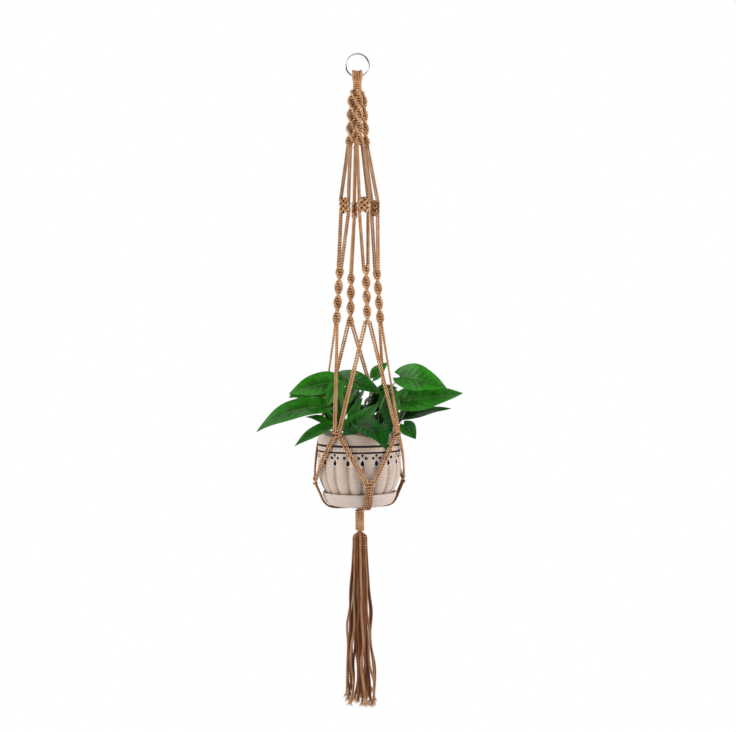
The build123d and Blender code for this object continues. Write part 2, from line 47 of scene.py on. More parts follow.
camera_data = bpy.data.cameras.new("camera")
camera_data.lens = 50
camera = bpy.data.objects.new("camera", camera_data)
camera.location = camera_place
camera.rotation_euler = (np.pi / 2, np.radians(camera_lean), 0)
bpy.context.scene.collection.objects.link(camera)
bpy.context.scene.camera = camera
bpy.context.scene.view_settings.view_transform = "Standard"

# Studio: a plain pale floor well below the tassel, a white surround, soft even light from all round and
# two large lamps, one on either side and a little above the plant. What the ring and the glaze mirror is
# a dark room with three bright boxes and two bright corners, and white only straight behind them.
floor_z = -1.6
floor_half = 8.0
floor_share_lit = 0.12
floor_tones = (0.88, 0.88, 0.88, 1), (0.93, 0.93, 0.93, 1)
shadow_reach = (0.7, 1.35)
white = (1, 1, 1, 1)
soft_light = (0.37, 0.37, 0.385, 1)
mirrored_dark = 0.05
mirrored_boxes = (
    ((-0.72, -0.62, 0.32), 0.88, 0.97, 2.4),
    ((0.74, -0.62, 0.10), 0.88, 0.97, 2.4),
    ((0.05, -0.55, 0.83), 0.82, 0.97, 0.75),
)
dark_corners = (0.02, 0.22)
bright_corners = (-0.3, -0.04)
corner_light = 1.3
straight_behind = (-0.1, 0.45)
lamps = (("left_lamp", (-1.96, -0.66, -0.40), 60), ("right_lamp", (1.96, -0.66, -0.25), 66))
lamp_size = 2.4
lamp_aim = Vector((0, 0, camera_place[2]))


def plug(node, values):
    """Gives a node's inputs, by place or by name, a number, a colour or another node's socket."""
    for key, value in values.items():
        if isinstance(value, bpy.types.NodeSocket):
            node.id_data.links.new(value, node.inputs[key])
        else:
            node.inputs[key].default_value = value


def add_node(tree, kind, *values, **sockets):
    """Shader node with its inputs, given by place or by name."""
    made = tree.nodes.new("ShaderNode" + kind)
    plug(made, dict(enumerate(values)) | sockets)
    return made


def home(*values):
    """Tree of the first socket among some values."""
    return next(value.id_data for value in values if isinstance(value, bpy.types.NodeSocket))


def calc(operation, *values):
    """Output of a Math node."""
    made = add_node(home(*values), "Math", *values)
    made.operation = operation
    return made.outputs[0]


def fade(value, low, high, start=0.0, end=1.0):
    """Value carried smoothly from the range low to high onto start to end, and held beyond it."""
    made = add_node(value.id_data, "MapRange", value, low, high, start, end)
    made.interpolation_type = "SMOOTHSTEP"
    return made.outputs[0]


def mixed(share, first, second, blend="MIX"):
    """Colour between first and second by share."""
    made = add_node(home(share, first, second), "MixRGB", share, first, second)
    made.blend_type = blend
    return made.outputs[0]


def noise(where, scale, detail=3.0):
    """Value of a noise at a place, from 0 to 1."""
    return add_node(where.id_data, "TexNoise", where, Scale=scale, Detail=detail).outputs[0]


def new_material(name):
    """Empty material with its tree, its Principled shader and its Object coordinates."""
    material = bpy.data.materials.new(name)
    material.use_nodes = True
    tree = material.node_tree
    return material, tree, tree.nodes["Principled BSDF"], add_node(tree, "TexCoord").outputs["Object"]


def rough(shader, height, strength, distance):
    """Bump from a height onto a shader's normal."""
    bump = add_node(shader.id_data, "Bump", Strength=strength, Distance=distance, Height=height)
    plug(shader, {"Normal": bump.outputs[0]})


def seen_rays(tree):
    """1 for rays that come straight from the camera, a mirror or glass, else 0; and 1 for a mirror's."""
    path = add_node(tree, "LightPath").outputs
    seen = calc("MAXIMUM", path["Is Camera Ray"], path["Is Glossy Ray"])
    return calc("MAXIMUM", seen, path["Is Transmission Ray"]), path["Is Glossy Ray"]


world = bpy.data.worlds.new("studio")
bpy.context.scene.world = world
world.use_nodes = True
sky = world.node_tree
seen, glossy = seen_rays(sky)
way = add_node(sky, "TexCoord").outputs["Generated"]
mirrored = mirrored_dark
for direction, edge, middle, bright in mirrored_boxes:
    towards = add_node(sky, "VectorMath", way, direction)
    towards.operation = "DOT_PRODUCT"
    mirrored = calc("ADD", mirrored, fade(towards.outputs["Value"], edge, middle, 0.0, bright))
x, y, z = add_node(sky, "SeparateXYZ", way).outputs
corner = calc("MULTIPLY", x, z)
open_side = fade(corner, *dark_corners, 1.0, 0.0)
mirrored = calc("MULTIPLY", mirrored, open_side)
mirrored = calc("ADD", mirrored, fade(corner, *bright_corners, corner_light, 0.0))
behind = calc("MULTIPLY", fade(y, *straight_behind), open_side)
unseen = calc("MULTIPLY", glossy, calc("SUBTRACT", 1.0, behind))
shown = add_node(sky, "Background", mixed(unseen, white, mirrored), 1.0)
light = add_node(sky, "Background", soft_light, 1.0)
both = add_node(sky, "MixShader", seen, light.outputs[0], shown.outputs[0])
plug(sky.nodes["World Output"], {"Surface": both.outputs[0]})

floor_mesh = bpy.data.meshes.new("floor")
corners = [(-1, -1), (1, -1), (1, 1), (-1, 1)]
floor_mesh.from_pydata([(x * floor_half, y * floor_half, floor_z) for x, y in corners], [], [(0, 1, 2, 3)])
floor = bpy.data.objects.new("floor", floor_mesh)
bpy.context.scene.collection.objects.link(floor)
floor_paint, tree, shader, where = new_material("floor_paint")
plug(shader, {"Base Color": mixed(noise(where, 6.0), *floor_tones), "Roughness": 0.9})
glow = add_node(tree, "Emission", white, 1.0)
x, y, z = add_node(tree, "SeparateXYZ", where).outputs
beside = calc("SQRT", calc("ADD", calc("MULTIPLY", x, x), calc("MULTIPLY", y, y)))
lit = fade(beside, *shadow_reach, 1 - floor_share_lit, 1.0)
share = calc("MULTIPLY", seen_rays(tree)[0], lit)
both = add_node(tree, "MixShader", share, shader.outputs[0], glow.outputs[0])
plug(tree.nodes["Material Output"], {"Surface": both.outputs[0]})
floor_mesh.materials.append(floor_paint)

for name, place, power in lamps:
    lamp = bpy.data.objects.new(name, bpy.data.lights.new(name, "AREA"))
    lamp.data.size = lamp_size
    lamp.data.energy = power
    lamp.location = place
    lamp.rotation_euler = (lamp.location - lamp_aim).to_track_quat("Z", "Y").to_euler()
    lamp.visible_glossy = False
    bpy.context.scene.collection.objects.link(lamp)

# Hanging ring: a steel wire bent into a ring and welded, then plated with bright nickel and polished.
# It hangs loose on a hook, and fine rub marks lie in its polish.
ring_r = 0.0185
wire_r = 0.0015
wire_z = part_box("hanging_ring")[0].z + wire_r
ring_steps, ring_sides = 145, 24
nickel_tones = (0.66, 0.66, 0.67, 1), (0.74, 0.74, 0.75, 1)


def unit(vectors):
    """Vectors of length one."""
    return vectors / np.linalg.norm(vectors, axis=-1, keepdims=True)


def grid_faces(rows, columns, closed):
    """Four-cornered faces of a grid of points, the columns joined into a ring if closed."""
    i, j = np.meshgrid(np.arange(rows - 1), np.arange(columns if closed else columns - 1), indexing="ij")
    here, there = i * columns + j, i * columns + (j + 1) % columns
    return np.stack([here, there, there + columns, here + columns], -1).reshape(-1, 4)


def cap_faces(count, sides):
    """Triangles that close the first and last ring of count ring points to the two points after them."""
    here = np.arange(sides)
    there = (here + 1) % sides
    first = np.stack([there, here, np.full(sides, count)], -1)
    last = np.stack([count - sides + here, count - sides + there, np.full(sides, count + 1)], -1)
    return np.concatenate([first, last])


def tube(line, beside, radius, sides):
    """Tube of rings round a line: the point at angle a is line + radius (out cos a + over sin a), with
    out the part of beside that is square to the line. Radius is an array of rings by sides."""
    ahead = unit(np.gradient(line, axis=0))
    beside = np.broadcast_to(beside, line.shape)
    out = unit(beside - ahead * (beside * ahead).sum(1, keepdims=True))
    over = np.cross(ahead, out)
    a = np.linspace(0, 2 * np.pi, sides, endpoint=False)[None, :, None]
    rings = line[:, None] + radius[..., None] * (np.cos(a) * out[:, None] + np.sin(a) * over[:, None])
    points = np.concatenate([rings.reshape(-1, 3), line[:1], line[-1:]])
    return points, grid_faces(len(line), sides, True), cap_faces(len(line) * sides, sides)


def add_piece(name, surfaces, material, body, nodes):
    """One mesh object of several surfaces (points, quads, triangles, ply, lay), on a body, for nodes."""
    starts = np.cumsum([0] + [len(s[0]) for s in surfaces])
    quads = np.concatenate([s[1] + n for s, n in zip(surfaces, starts)])
    triangles = np.concatenate([s[2] + n for s, n in zip(surfaces, starts)])
    sizes = np.r_[np.full(len(quads), 4), np.full(len(triangles), 3)]
    corners = np.r_[quads.ravel(), triangles.ravel()]
    mesh = bpy.data.meshes.new(name)
    mesh.vertices.add(starts[-1])
    mesh.vertices.foreach_set("co", np.concatenate([s[0] for s in surfaces]).ravel())
    mesh.loops.add(len(corners))
    mesh.loops.foreach_set("vertex_index", corners.astype(np.int32))
    mesh.polygons.add(len(sizes))
    mesh.polygons.foreach_set("loop_start", np.r_[0, np.cumsum(sizes)[:-1]].astype(np.int32))
    mesh.polygons.foreach_set("use_smooth", np.ones(len(sizes), bool))
    mesh.update(calc_edges=True)
    if len(surfaces[0]) > 3:
        ply = mesh.attributes.new("ply", "FLOAT", "POINT")
        ply.data.foreach_set("value", np.concatenate([s[3] for s in surfaces]).astype(np.float32))
        lay = mesh.attributes.new("lay", "FLOAT_VECTOR", "POINT")
        lay.data.foreach_set("vector", np.concatenate([s[4] for s in surfaces]).astype(np.float32).ravel())
    mesh.materials.append(material)
    piece = bpy.data.objects.new(name, mesh)
    bpy.context.scene.collection.objects.link(piece)
    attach(piece, body)
    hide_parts(*nodes)
    return piece


nickel, tree, shader, where = new_material("nickel")
marks = noise(where, 260.0)
polish = fade(marks, 0.3, 0.8, 0.12, 0.18)
plug(shader, {"Base Color": mixed(marks, *nickel_tones), "Roughness": polish, "Metallic": 1.0})
a = np.linspace(0, 2 * np.pi, ring_steps)
loop = ring_r * np.stack([np.sin(a), 0 * a, -np.cos(a)], 1)
middle = (0, 0, wire_z + ring_r)
wire = tube(loop + middle, loop, np.full((ring_steps, ring_sides), wire_r), ring_sides)
add_piece("ring_wire", [wire], nickel, "ring", ["hanging_ring"])

# Cord fold: eight cords of two-ply twisted cotton, laid over the ring in two layers and drawn
# together at the neck. Below the neck wrap their sixteen strands spread to the four sinnets.
cord_r = 0.0016
ply_sides = 14
ply_groove = 0.32
cord_lay = 0.0087
cord_step = 0.0008
cord_shade_tone = (0.15, 0.052, 0.018, 1)
cord_mid = (0.62, 0.33, 0.152, 1)
cord_pale = (0.86, 0.55, 0.305, 1)
cord_dusk = (0.38, 0.25, 0.22, 1)
fibre_streaks = (0.72, 0.7, 0.68, 1), (1.12, 1.1, 1.08, 1)
neck_top = wire_z - 0.0056
neck_bottom = -0.0569
fold_columns = (-0.0063, -0.0021, 0.0021, 0.0063)
fold_layers = ((0.0036, 0.0018), (0.0069, 0.0022))
fold_play = 0.6
# Painted shade: dusk darkens the fold's cords.
fold_dusk, fold_groove = 0.55, 0.07


def outward(azimuth):
    """Unit vector from the axis; azimuth in degrees from the front (-Y) towards +X."""
    a = np.radians(azimuth)
    return np.stack([np.sin(a), -np.cos(a), np.zeros_like(a)], -1)


def across(azimuth):
    """Unit vector square to outward, towards rising azimuth."""
    return outward(azimuth + 90.0)


def spot(radius, azimuth, z, offset=0.0):
    """Point at a radius, azimuth and height, moved sideways by offset."""
    return outward(azimuth) * radius + across(azimuth) * offset + np.array([0, 0, z])


def walked(line):
    """Length walked along a line at each of its points."""
    return np.r_[0, np.cumsum(np.linalg.norm(np.diff(line, axis=0), axis=1))]


def evenly(line, step=cord_step):
    """Points at equal steps along a line."""
    at = walked(line)
    stops = np.linspace(0, at[-1], int(at[-1] / step) + 3)
    return np.stack([np.interp(stops, at, line[:, i]) for i in range(3)], 1)


def smooth_line(points, step=cord_step):
    """Even points on the quadratic NURBS curve that has the given points as its control points."""
    curve = bpy.data.curves.new("route", "CURVE")
    curve.dimensions = "3D"
    curve.resolution_u = 16
    spline = curve.splines.new("NURBS")
    spline.points.add(len(points) - 1)
    spline.points.foreach_set("co", np.c_[np.array(points), np.ones(len(points))].ravel())
    spline.order_u = 3
    spline.use_endpoint_u = True
    holder = bpy.data.objects.new("route", curve)
    mesh = bpy.data.meshes.new_from_object(holder)
    line = np.empty(3 * len(mesh.vertices))
    mesh.vertices.foreach_get("co", line)
    bpy.data.meshes.remove(mesh)
    bpy.data.objects.remove(holder)
    bpy.data.curves.remove(curve)
    return evenly(line.reshape(-1, 3), step)


def rope(line, beside, radius=cord_r, dusk=0.0, groove=ply_groove, edge=0.0):
    """Two-ply cord along a line: at walked length l and angle a its radius is
    radius (1 - groove (1 - |cos(a - 2 pi l / lay)|)). Keeps that |cos| as ply, the share of the cord's own
    tone against painted shade: it is drawn towards 1 where the groove is shallow, and towards 0, more
    painted shade, by edge on the two sides that are square to beside. Keeps the place on the cord as lay,
    and dusk, the painted shade that darkens the whole cord, as the third part of lay."""
    along = walked(line)[:, None]
    radius = np.broadcast_to(radius, len(line))[:, None]
    a = np.linspace(0, 2 * np.pi, ply_sides, endpoint=False)
    turn = a - 2 * np.pi * along / cord_lay
    ply = np.abs(np.cos(turn))
    points, quads, caps = tube(line, beside, radius * (1 - groove * (1 - ply)), ply_sides)
    lay = np.stack(np.broadcast_arrays(radius * turn, along, dusk), -1).reshape(-1, 3)
    mark = 1 - groove / ply_groove * (1 - ply)
    mark = mark * (1 - edge * np.clip((0.85 - np.abs(np.cos(a))) / 0.65, 0, 1))
    return points, quads, caps, np.r_[mark.ravel(), 0.5, 0.5], np.r_[lay, lay[:1], lay[-1:]]


def attribute(tree, name):
    """Outputs of a value that is kept on the mesh."""
    made = add_node(tree, "Attribute")
    made.attribute_name = name
    return made.outputs


cotton, tree, shader, where = new_material("twisted_cotton")
lay = attribute(tree, "lay")["Vector"]
fibre_place = add_node(tree, "Mapping", lay, Scale=(4200, 420, 1))
dusk = add_node(tree, "SeparateXYZ", lay).outputs[2]
fibres = noise(fibre_place.outputs[0], 1.0, 4.0)
patches = noise(where, 95.0, 2.0)
body_tone = mixed(fade(patches, 0.3, 0.7), cord_mid, cord_pale)
# Painted shade: where ply is low, in the grooves between the plies, on a cord's sides and deep in knots and
# wraps, the colour runs down to a dark shade tone.
crest = fade(attribute(tree, "ply")["Fac"], 0.25, 1.0)
tone = mixed(crest, cord_shade_tone, body_tone)
# Painted shade: dusk darkens a whole cord.
tone = mixed(dusk, tone, mixed(1.0, tone, cord_dusk, "MULTIPLY"))
streak = mixed(fade(fibres, 0.35, 0.75), *fibre_streaks)
plug(shader, {"Base Color": mixed(1.0, tone, streak, "MULTIPLY"), "Roughness": 0.82})
plug(shader, {"Specular IOR Level": 0.1, "Sheen Weight": 0.06, "Sheen Roughness": 0.5})
rough(shader, fibres, 0.5, 0.0003)


def add_cords(name, cords, node=None):
    """Cotton cords as one piece of the hanger, for a node or for the one that it is named after."""
    return add_piece(name, cords, cotton, "hanger", [node or name.removesuffix("_cords")])


fold_cords = []
for reach, radius in fold_layers:
    for x in fold_columns:
        rise = ring_r - np.sqrt(ring_r**2 - x**2)
        deep = reach + fold_play * rise
        top = wire_z + reach + rise
        waist = 0.0011 + 0.25 * reach
        down = [
            (x, deep, top),
            (x, deep, wire_z + 0.001),
            (0.85 * x, 0.85 * deep, neck_top + 0.0012),
            (0.5 * x, waist, neck_top - 0.004),
            (0.45 * x, waist, neck_bottom),
        ]
        route = [(u, -v, w) for u, v, w in down[::-1]] + [(x, 0, top + 0.0004)] + down
        fold_cords.append(rope(smooth_line(route), (1, 0, 0), radius, fold_dusk, fold_groove))

# Sinnets: two strands of each quarter are tied round the other two in half knots that all lead the
# same way, so the column turns as it grows and swells to an oval at every half turn.
quarters = 90.0 * np.arange(4)
upper_azimuths, lower_azimuths, cradle_azimuths = 14.0 + quarters, 22.0 + quarters, 13.2 + quarters
facing_turns = (0.0, 18.0, 80.0, 14.0)
upper_turns = (41.0, -49.0, 130.0, -45.0)
lower_turns = (-55.0, 0.0, 128.0, 14.0)
upper_knot_turn = 36.0
lower_knot_turns = (36.5, 35.0, 33.5, 33.5)
knot_cord_r = 0.0014
sinnet_half_width = 0.0046
sinnet_half_depth = 0.0013
edge_r = 0.0024
edge_drop = -0.2
filler_r = 0.0012
filler_half = 0.0012
knot_shade = (0.0003, 0.0028)
# Painted shade: dusk darkens the tying cords, the fillers and the edge loops, and the tying cords are also
# shaded on their two sides.
knot_dusk = 0.2
tie_groove, tie_side_shade = 0.2, 0.7
edge_dusk, edge_groove = 0.25, 0.16
edge_beside = (0.9, 0.4, 0)
spread_pitch = 0.0026
spread_r = 1.3 * knot_cord_r
upper_top_r, upper_bottom_r = 0.0086, 0.014
lower_top_r, lower_bottom_r = 0.0315, 0.0382


def ends_in(part, knots, square):
    """Share of a column's width at a part of its height: a turning column is drawn in over two knots at
    both ends."""
    near = np.clip(np.minimum(part, 1 - part) * knots / 2, 0, 1)
    return 1.0 if square else 0.55 + 0.45 * near * (2 - near)


def knot_lines(top, bottom, azimuth, knots, turn, half_width, half_depth, square):
    """Centre lines of the two tying strands of a column. After s knots the strand lies at
    u = -half_width cos(pi s), v = half_depth sin(pi s) in a section turned by azimuth + turn s, with
    both drawn towards a flat oval. In a square knot v keeps its side, so each strand doubles back.
    The way down is s + edge_drop sin(2 pi s) / (2 pi), a little flatter at the edges than across."""
    s = np.linspace(0, knots, 64 * knots + 1)
    down = np.clip((s + edge_drop * np.sin(2 * np.pi * s) / (2 * np.pi)) / knots, 0, 1)
    centre = top + (bottom - top) * down[:, None]
    angle = azimuth + turn * s
    half_width = half_width * ends_in(s / knots, knots, square)
    lines = []
    for lead in (0, 1):
        phase = np.pi * (s + lead)
        u = -np.sign(np.cos(phase)) * np.abs(np.cos(phase)) ** 0.8
        v = np.sin(phase)
        v = np.sign(v) * np.abs(v) ** 0.7
        if square:
            v = np.abs(v) * (1 if lead == 0 else -1)
        side = across(angle) * (half_width * u)[:, None]
        front = outward(angle) * (half_depth * v)[:, None]
        lines.append(centre + side + front)
    return lines


def with_deep_shade(cord, depth, low, high):
    """Cord with painted shade: its ply mark faded out smoothly, towards the shade tone, where the depth at
    its points falls from high to low.
    """
    points, quads, caps, ply, lay = cord
    share = np.clip((depth(points) - low) / (high - low), 0, 1)
    return points, quads, caps, ply * share * share * (3 - 2 * share), lay


def tied_column(top, bottom, azimuth, knots, turn, half_width, half_depth, radius, square=False):
    """The two tying strands as cords, and the two strands inside them, which turn with the column. In a
    turning column the loops at its two edges lie on each other as a thick edge, of radius
    edge_r (0.8 + 0.25 |sin(pi s)|) after s knots. All of them get painted shade where they lie near the
    column's axis."""
    made = []

    def from_axis(points):
        """Level way to points from the column's axis, the straight line from top to bottom."""
        return points - (top + (bottom - top) * ((points[:, 2:] - top[2]) / (bottom[2] - top[2])))

    for line in knot_lines(top, bottom, azimuth, knots, turn, half_width, half_depth, square):
        line = evenly(line)
        made.append(rope(line, unit(from_axis(line) + 1e-6), radius, knot_dusk, tie_groove, tie_side_shade))
    part = np.linspace(0, 1, 8 * knots + 1)
    centre = top + (bottom - top) * part[:, None]
    for side in (-1, 1):
        line = centre + across(azimuth + turn * knots * part) * side * filler_half
        made.append(rope(evenly(line), outward(azimuth), filler_r, knot_dusk))
        if not square:
            out = across(azimuth + turn * knots * part) * side * ends_in(part, knots, square)[:, None]
            line = evenly(centre + out * half_width)
            loops = np.abs(np.sin(np.pi * knots * np.linspace(0, 1, len(line))))
            made.append(rope(line, edge_beside, edge_r * (0.8 + 0.25 * loops), edge_dusk, edge_groove))
    return [with_deep_shade(cord, lambda p: np.linalg.norm(from_axis(p), axis=1), *knot_shade) for cord in made]


def heights(node):
    """Lowest and highest z of a node."""
    return [corner.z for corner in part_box(node)]


upper_knots, lower_knots = 20, (20, 20, 18, 20)
upper_low, upper_high = heights("upper_sinnet_1")
lower_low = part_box("lower_sinnet_1")[0].z
row = np.array([-1.5, -0.5, 0.5, 1.5])
sinnet_shape = (sinnet_half_width, sinnet_half_depth, knot_cord_r)
lower_tops = []
for k in range(4):
    azimuth = upper_azimuths[k]
    top, bottom = spot(upper_top_r, azimuth, upper_high), spot(upper_bottom_r, azimuth, upper_low)
    start = azimuth + upper_turns[k] - upper_knot_turn * upper_knots
    column = tied_column(top, bottom, start, upper_knots, upper_knot_turn, *sinnet_shape)
    add_cords(f"upper_sinnet_{k + 1}_cords", column)
    for offset in row:
        side = across(start) * (offset * spread_pitch)
        route = [
            spot(0.0024, azimuth + 20 * offset, neck_bottom + 0.004),
            spot(0.0042, azimuth + 12 * offset, neck_bottom - 0.0006),
            spot(upper_top_r, azimuth, upper_high + 0.0006) + side,
            spot(upper_top_r, azimuth, upper_high - 0.002) + 0.8 * side,
        ]
        fold_cords.append(rope(smooth_line(route), across(azimuth), spread_r))
    azimuth = lower_azimuths[k]
    lower_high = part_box(f"lower_sinnet_{k + 1}")[1].z
    radius = np.interp(lower_high, [lower_low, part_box("lower_sinnet_1")[1].z], [lower_bottom_r, lower_top_r])
    lower_tops.append((radius, lower_high))
    top, bottom = spot(radius, azimuth, lower_high), spot(lower_bottom_r, azimuth, lower_low)
    start = azimuth + lower_turns[k]
    column = tied_column(top, bottom, start, lower_knots[k], lower_knot_turns[k], *sinnet_shape)
    add_cords(f"lower_sinnet_{k + 1}_cords", column)
add_cords("cord_fold_cords", fold_cords)

# Neck wrap: one cord wound tightly in four turns round all the strands under the ring, its two ends
# tucked in at the back. It keeps the fold closed.
wrap_cord_r = 0.0014
wrap_pitch = 0.00325
wrap_tuck = 0.35
wrap_sink = 0.0016
# Painted shade: dusk darkens the wrapping cord, and its two sides are shaded.
wrap_dusk, wrap_groove, wrap_side_shade = 0.35, 0.1, 0.7
neck_core_r = 0.00425
neck_turns = 4


def wrap(core_r, top, turns):
    """Cord wound down a core: the point at angle a from the back is at core_r + cord radius, pitch
    a / 2 pi lower. Over the last wrap_tuck of angle each end sinks into the core."""
    end = 2 * np.pi * turns + wrap_tuck
    a = np.linspace(-wrap_tuck, end, 48 * turns)
    tuck = np.clip(np.minimum(a + wrap_tuck, end - a) / wrap_tuck, 0, 1)
    r = core_r + wrap_cord_r - wrap_sink * (1 - tuck)
    z = top - wrap_cord_r - wrap_pitch * a / (2 * np.pi)
    line = evenly(np.stack([-r * np.sin(a), r * np.cos(a), z], 1))
    cord = rope(line, line * (1, 1, 0), 1.1 * wrap_cord_r, wrap_dusk, wrap_groove, wrap_side_shade)
    # Painted shade between the turns: the ply mark fades out where the cord lies close to the core.
    shade = core_r + 0.5 * wrap_cord_r, core_r + 1.5 * wrap_cord_r
    return with_deep_shade(cord, lambda p: np.hypot(p[:, 0], p[:, 1]), *shade)


add_cords("neck_wrap_cord", [wrap(neck_core_r, neck_top, neck_turns)], "neck_wrap")

# Strands: from each upper sinnet four strands run down to a band knot, two to each side of it, and
# on to the lower sinnet below. All are taut, so they lie straight.
band_azimuths = (18.4, 112.0, 192.4, 314.0)
band_r = 0.029
band_low, band_high = heights("band_knot_1")
strand_tuck = 0.0050
strand_r, strand_groove = 1.05 * cord_r, 0.36
sinnet_places = ((-0.0048, -0.0012), (-0.0030, 0.0015), (0.0030, -0.0012), (0.0048, 0.0015))
band_places = ((-0.0082, -0.0012), (-0.0064, 0.0015), (0.0064, -0.0012), (0.0082, 0.0015))


def in_pair(radius, azimuth, z, turn, place, front):
    """Point of one strand of a pair, to the side and to the front (1) or back (-1) of its knot's middle."""
    facing = azimuth + turn
    return spot(radius, azimuth, z) + across(facing) * place[0] + outward(facing) * place[1] * front


def taut(start, end, radius, groove):
    """Straight strand and its line, run on a little into the knots at both ends."""
    reach = strand_tuck * unit(end - start)
    line = smooth_line([start - reach, (start + end) / 2, end + reach])
    return rope(line, (1, 0.3, 0), radius, 0.0, groove), line


upper, middle = [], []
for k, (turn, front) in enumerate(zip(facing_turns, (1, -1, 1, -1))):
    for near, far in zip(sinnet_places, band_places):
        start = in_pair(upper_bottom_r, upper_azimuths[k], upper_low, turn, near, front)
        end = in_pair(band_r, band_azimuths[k], band_high, turn, far, front)
        upper.append(taut(start, end, strand_r, strand_groove)[0])
        start = in_pair(band_r, band_azimuths[k], band_low, turn, far, front)
        radius, z = lower_tops[k]
        end = in_pair(radius, lower_azimuths[k], z, turn, near, front)
        middle.append(taut(start, end, strand_r, strand_groove)[0])
add_cords("upper_strand_cords", upper, "upper_strands")
add_cords("middle_strand_cords", middle, "middle_strands")

# Band knots: the strands of a quarter double back and cross over and under each other, round three that
# run straight through, in a flat woven knot. It stands wider than the strands above and below it, and
# the one at the back is turned edge on.
plait_half_width = 0.0082
plait_half_depth = 0.0025
plait_cord_r = 0.0026
plait_runs = 4
plait_sweep = 1.3
plait_bend = 0.96
plait_slim = 0.15
plait_groove = 0.12
plait_shade = (0.0, 0.0046)
plait_core = (-0.0042, 0.0, 0.0042)
# Painted shade: the second and third knots, turned away from the front, are darkened most.
plait_dusks = (0.2, 0.6, 0.5, 0.2)


def plait(top, bottom, facing, dusk):
    """Run k, at phase p = t + 2 pi k / runs, lies at u = half_width asin(0.96 cos p) / asin 0.96 across
    and v = -half_depth cos(runs p) clip(3 sin p) in depth, so that it goes over and under the others by
    turns. It falls evenly as t goes through 1.3 pi, and the knot narrows at its top and bottom. The core
    strands run straight between the runs."""
    t = np.linspace(0, plait_sweep * np.pi, 200)
    level = np.linspace(0, 1, len(t))
    centre = top + (bottom - top) * level[:, None]
    slim = plait_half_width * (1 - plait_slim * np.abs(2 * level - 1) ** 3)
    made = []

    def stands_out(points):
        """Distance of points from the knot's middle: the depth, and the width past 0.6 half_width."""
        beyond = np.maximum(np.abs((points - top) @ across(facing)) - 0.6 * plait_half_width, 0)
        return np.hypot((points - top) @ outward(facing), beyond)

    for k in range(plait_runs):
        phase = t + 2 * np.pi * k / plait_runs
        u = slim * np.arcsin(plait_bend * np.cos(phase)) / np.arcsin(plait_bend)
        v = -plait_half_depth * np.cos(plait_runs * phase) * np.clip(3 * np.sin(phase), -1, 1)
        line = centre + across(facing) * u[:, None] + outward(facing) * v[:, None]
        # Painted shade on each run's two sides, and on the runs and core strands where they lie deep in the
        # knot rather than out at its face or edges.
        cord = rope(evenly(line), outward(facing), plait_cord_r, dusk, plait_groove, 1.0)
        made.append(with_deep_shade(cord, stands_out, *plait_shade))
    for aside in plait_core:
        line = evenly(centre[10:-10] + across(facing) * aside)
        made.append(with_deep_shade(rope(line, outward(facing), cord_r, dusk), stands_out, *plait_shade))
    return made


for k, azimuth in enumerate(band_azimuths):
    ends = spot(band_r, azimuth, band_high), spot(band_r, azimuth, band_low)
    knot = plait(*ends, azimuth + facing_turns[k], plait_dusks[k])
    add_cords(f"band_knot_{k + 1}_cords", knot)

# Net: from every lower sinnet two strands of the same cord go to the rim knot on either side. They
# carry the pot, so they are taut, and their ends run on into the knots.
net_pitch, rim_pitch = 0.0042, 0.0038
net_r = 1.08 * cord_r
rim_azimuths = (-28.0, 56.0, 146.0, 238.0)
rim_r = 0.0719
rim_low, rim_high = heights("rim_knot_1")
for k, azimuth in enumerate(rim_azimuths):
    for i, offset in enumerate(row * rim_pitch):
        sinnet = lower_azimuths[0] + 90.0 * (k - 1 if i < 2 else k)
        start = spot(lower_bottom_r, sinnet, lower_low, row[(i + 2) % 4] * net_pitch)
        end = spot(rim_r, azimuth, rim_high, offset)
        name = f"net_strand_{k + 1}_{i + 1}"
        strand, line = taut(start, end, net_r, ply_groove)
        piece = add_cords(name, [strand], f"net_strands_{k + 1}")
        long = np.linalg.norm(end - start)

# Rim and cradle knots: square knots that join the strands of two neighbours, at the pot's rim and at
# its belly. Two strands are tied round the other two.
cradle_r = 0.0721
cradle_low, cradle_high = heights("cradle_knot_1")
tied_knots = (
    ("rim_knot", rim_azimuths, rim_r, rim_high, rim_low, (0.0068, 0.0026, 0.0016)),
    ("cradle_knot", cradle_azimuths, cradle_r, cradle_high, cradle_low, (0.0068, 0.0019, 0.0016)),
)
for k in range(4):
    for name, azimuths, r, high, low, shape in tied_knots:
        ends = spot(r, azimuths[k], high), spot(r, azimuths[k], low)
        knot = tied_column(*ends, azimuths[k], 2, 0.0, *shape, square=True)
        add_cords(f"{name}_{k + 1}_cords", knot)

# Cradle: from every rim knot two strands lie over the pot's belly to the cradle knot on either side.
# They are drawn in a little between the knots, and hold the pot from tipping.
cradle_pitch = 0.0052
cradle_points = 9
cradle_in = 0.0012
# Painted shade: dusk darkens the cradle strands.
cradle_dusk, cradle_groove = 0.3, 0.28
for k, azimuth in enumerate(rim_azimuths):
    strands = []
    for i, offset in enumerate(row * cradle_pitch):
        towards = cradle_azimuths[0] + 90.0 * (k - 1 if i < 2 else k)
        start = azimuth + np.degrees(offset / rim_r)
        end = towards + np.degrees(row[(i + 2) % 4] * cradle_pitch / cradle_r)
        part = np.linspace(0, 1, cradle_points)[:, None]
        turn = start + (end - start) * part[:, 0]
        radius = rim_r + (cradle_r - rim_r) * part - cradle_in * np.sin(np.pi * part)
        z = rim_low + 0.003 - (rim_low - cradle_high + 0.006) * part
        route = outward(turn) * radius + z * np.array([[0, 0, 1.0]])
        line = smooth_line(route)
        strands.append(rope(line, line * (1, 1, 0), 1.1 * cord_r, cradle_dusk, cradle_groove))
    add_cords(f"cradle_strand_{k + 1}_cords", strands, f"cradle_strands_{k + 1}")

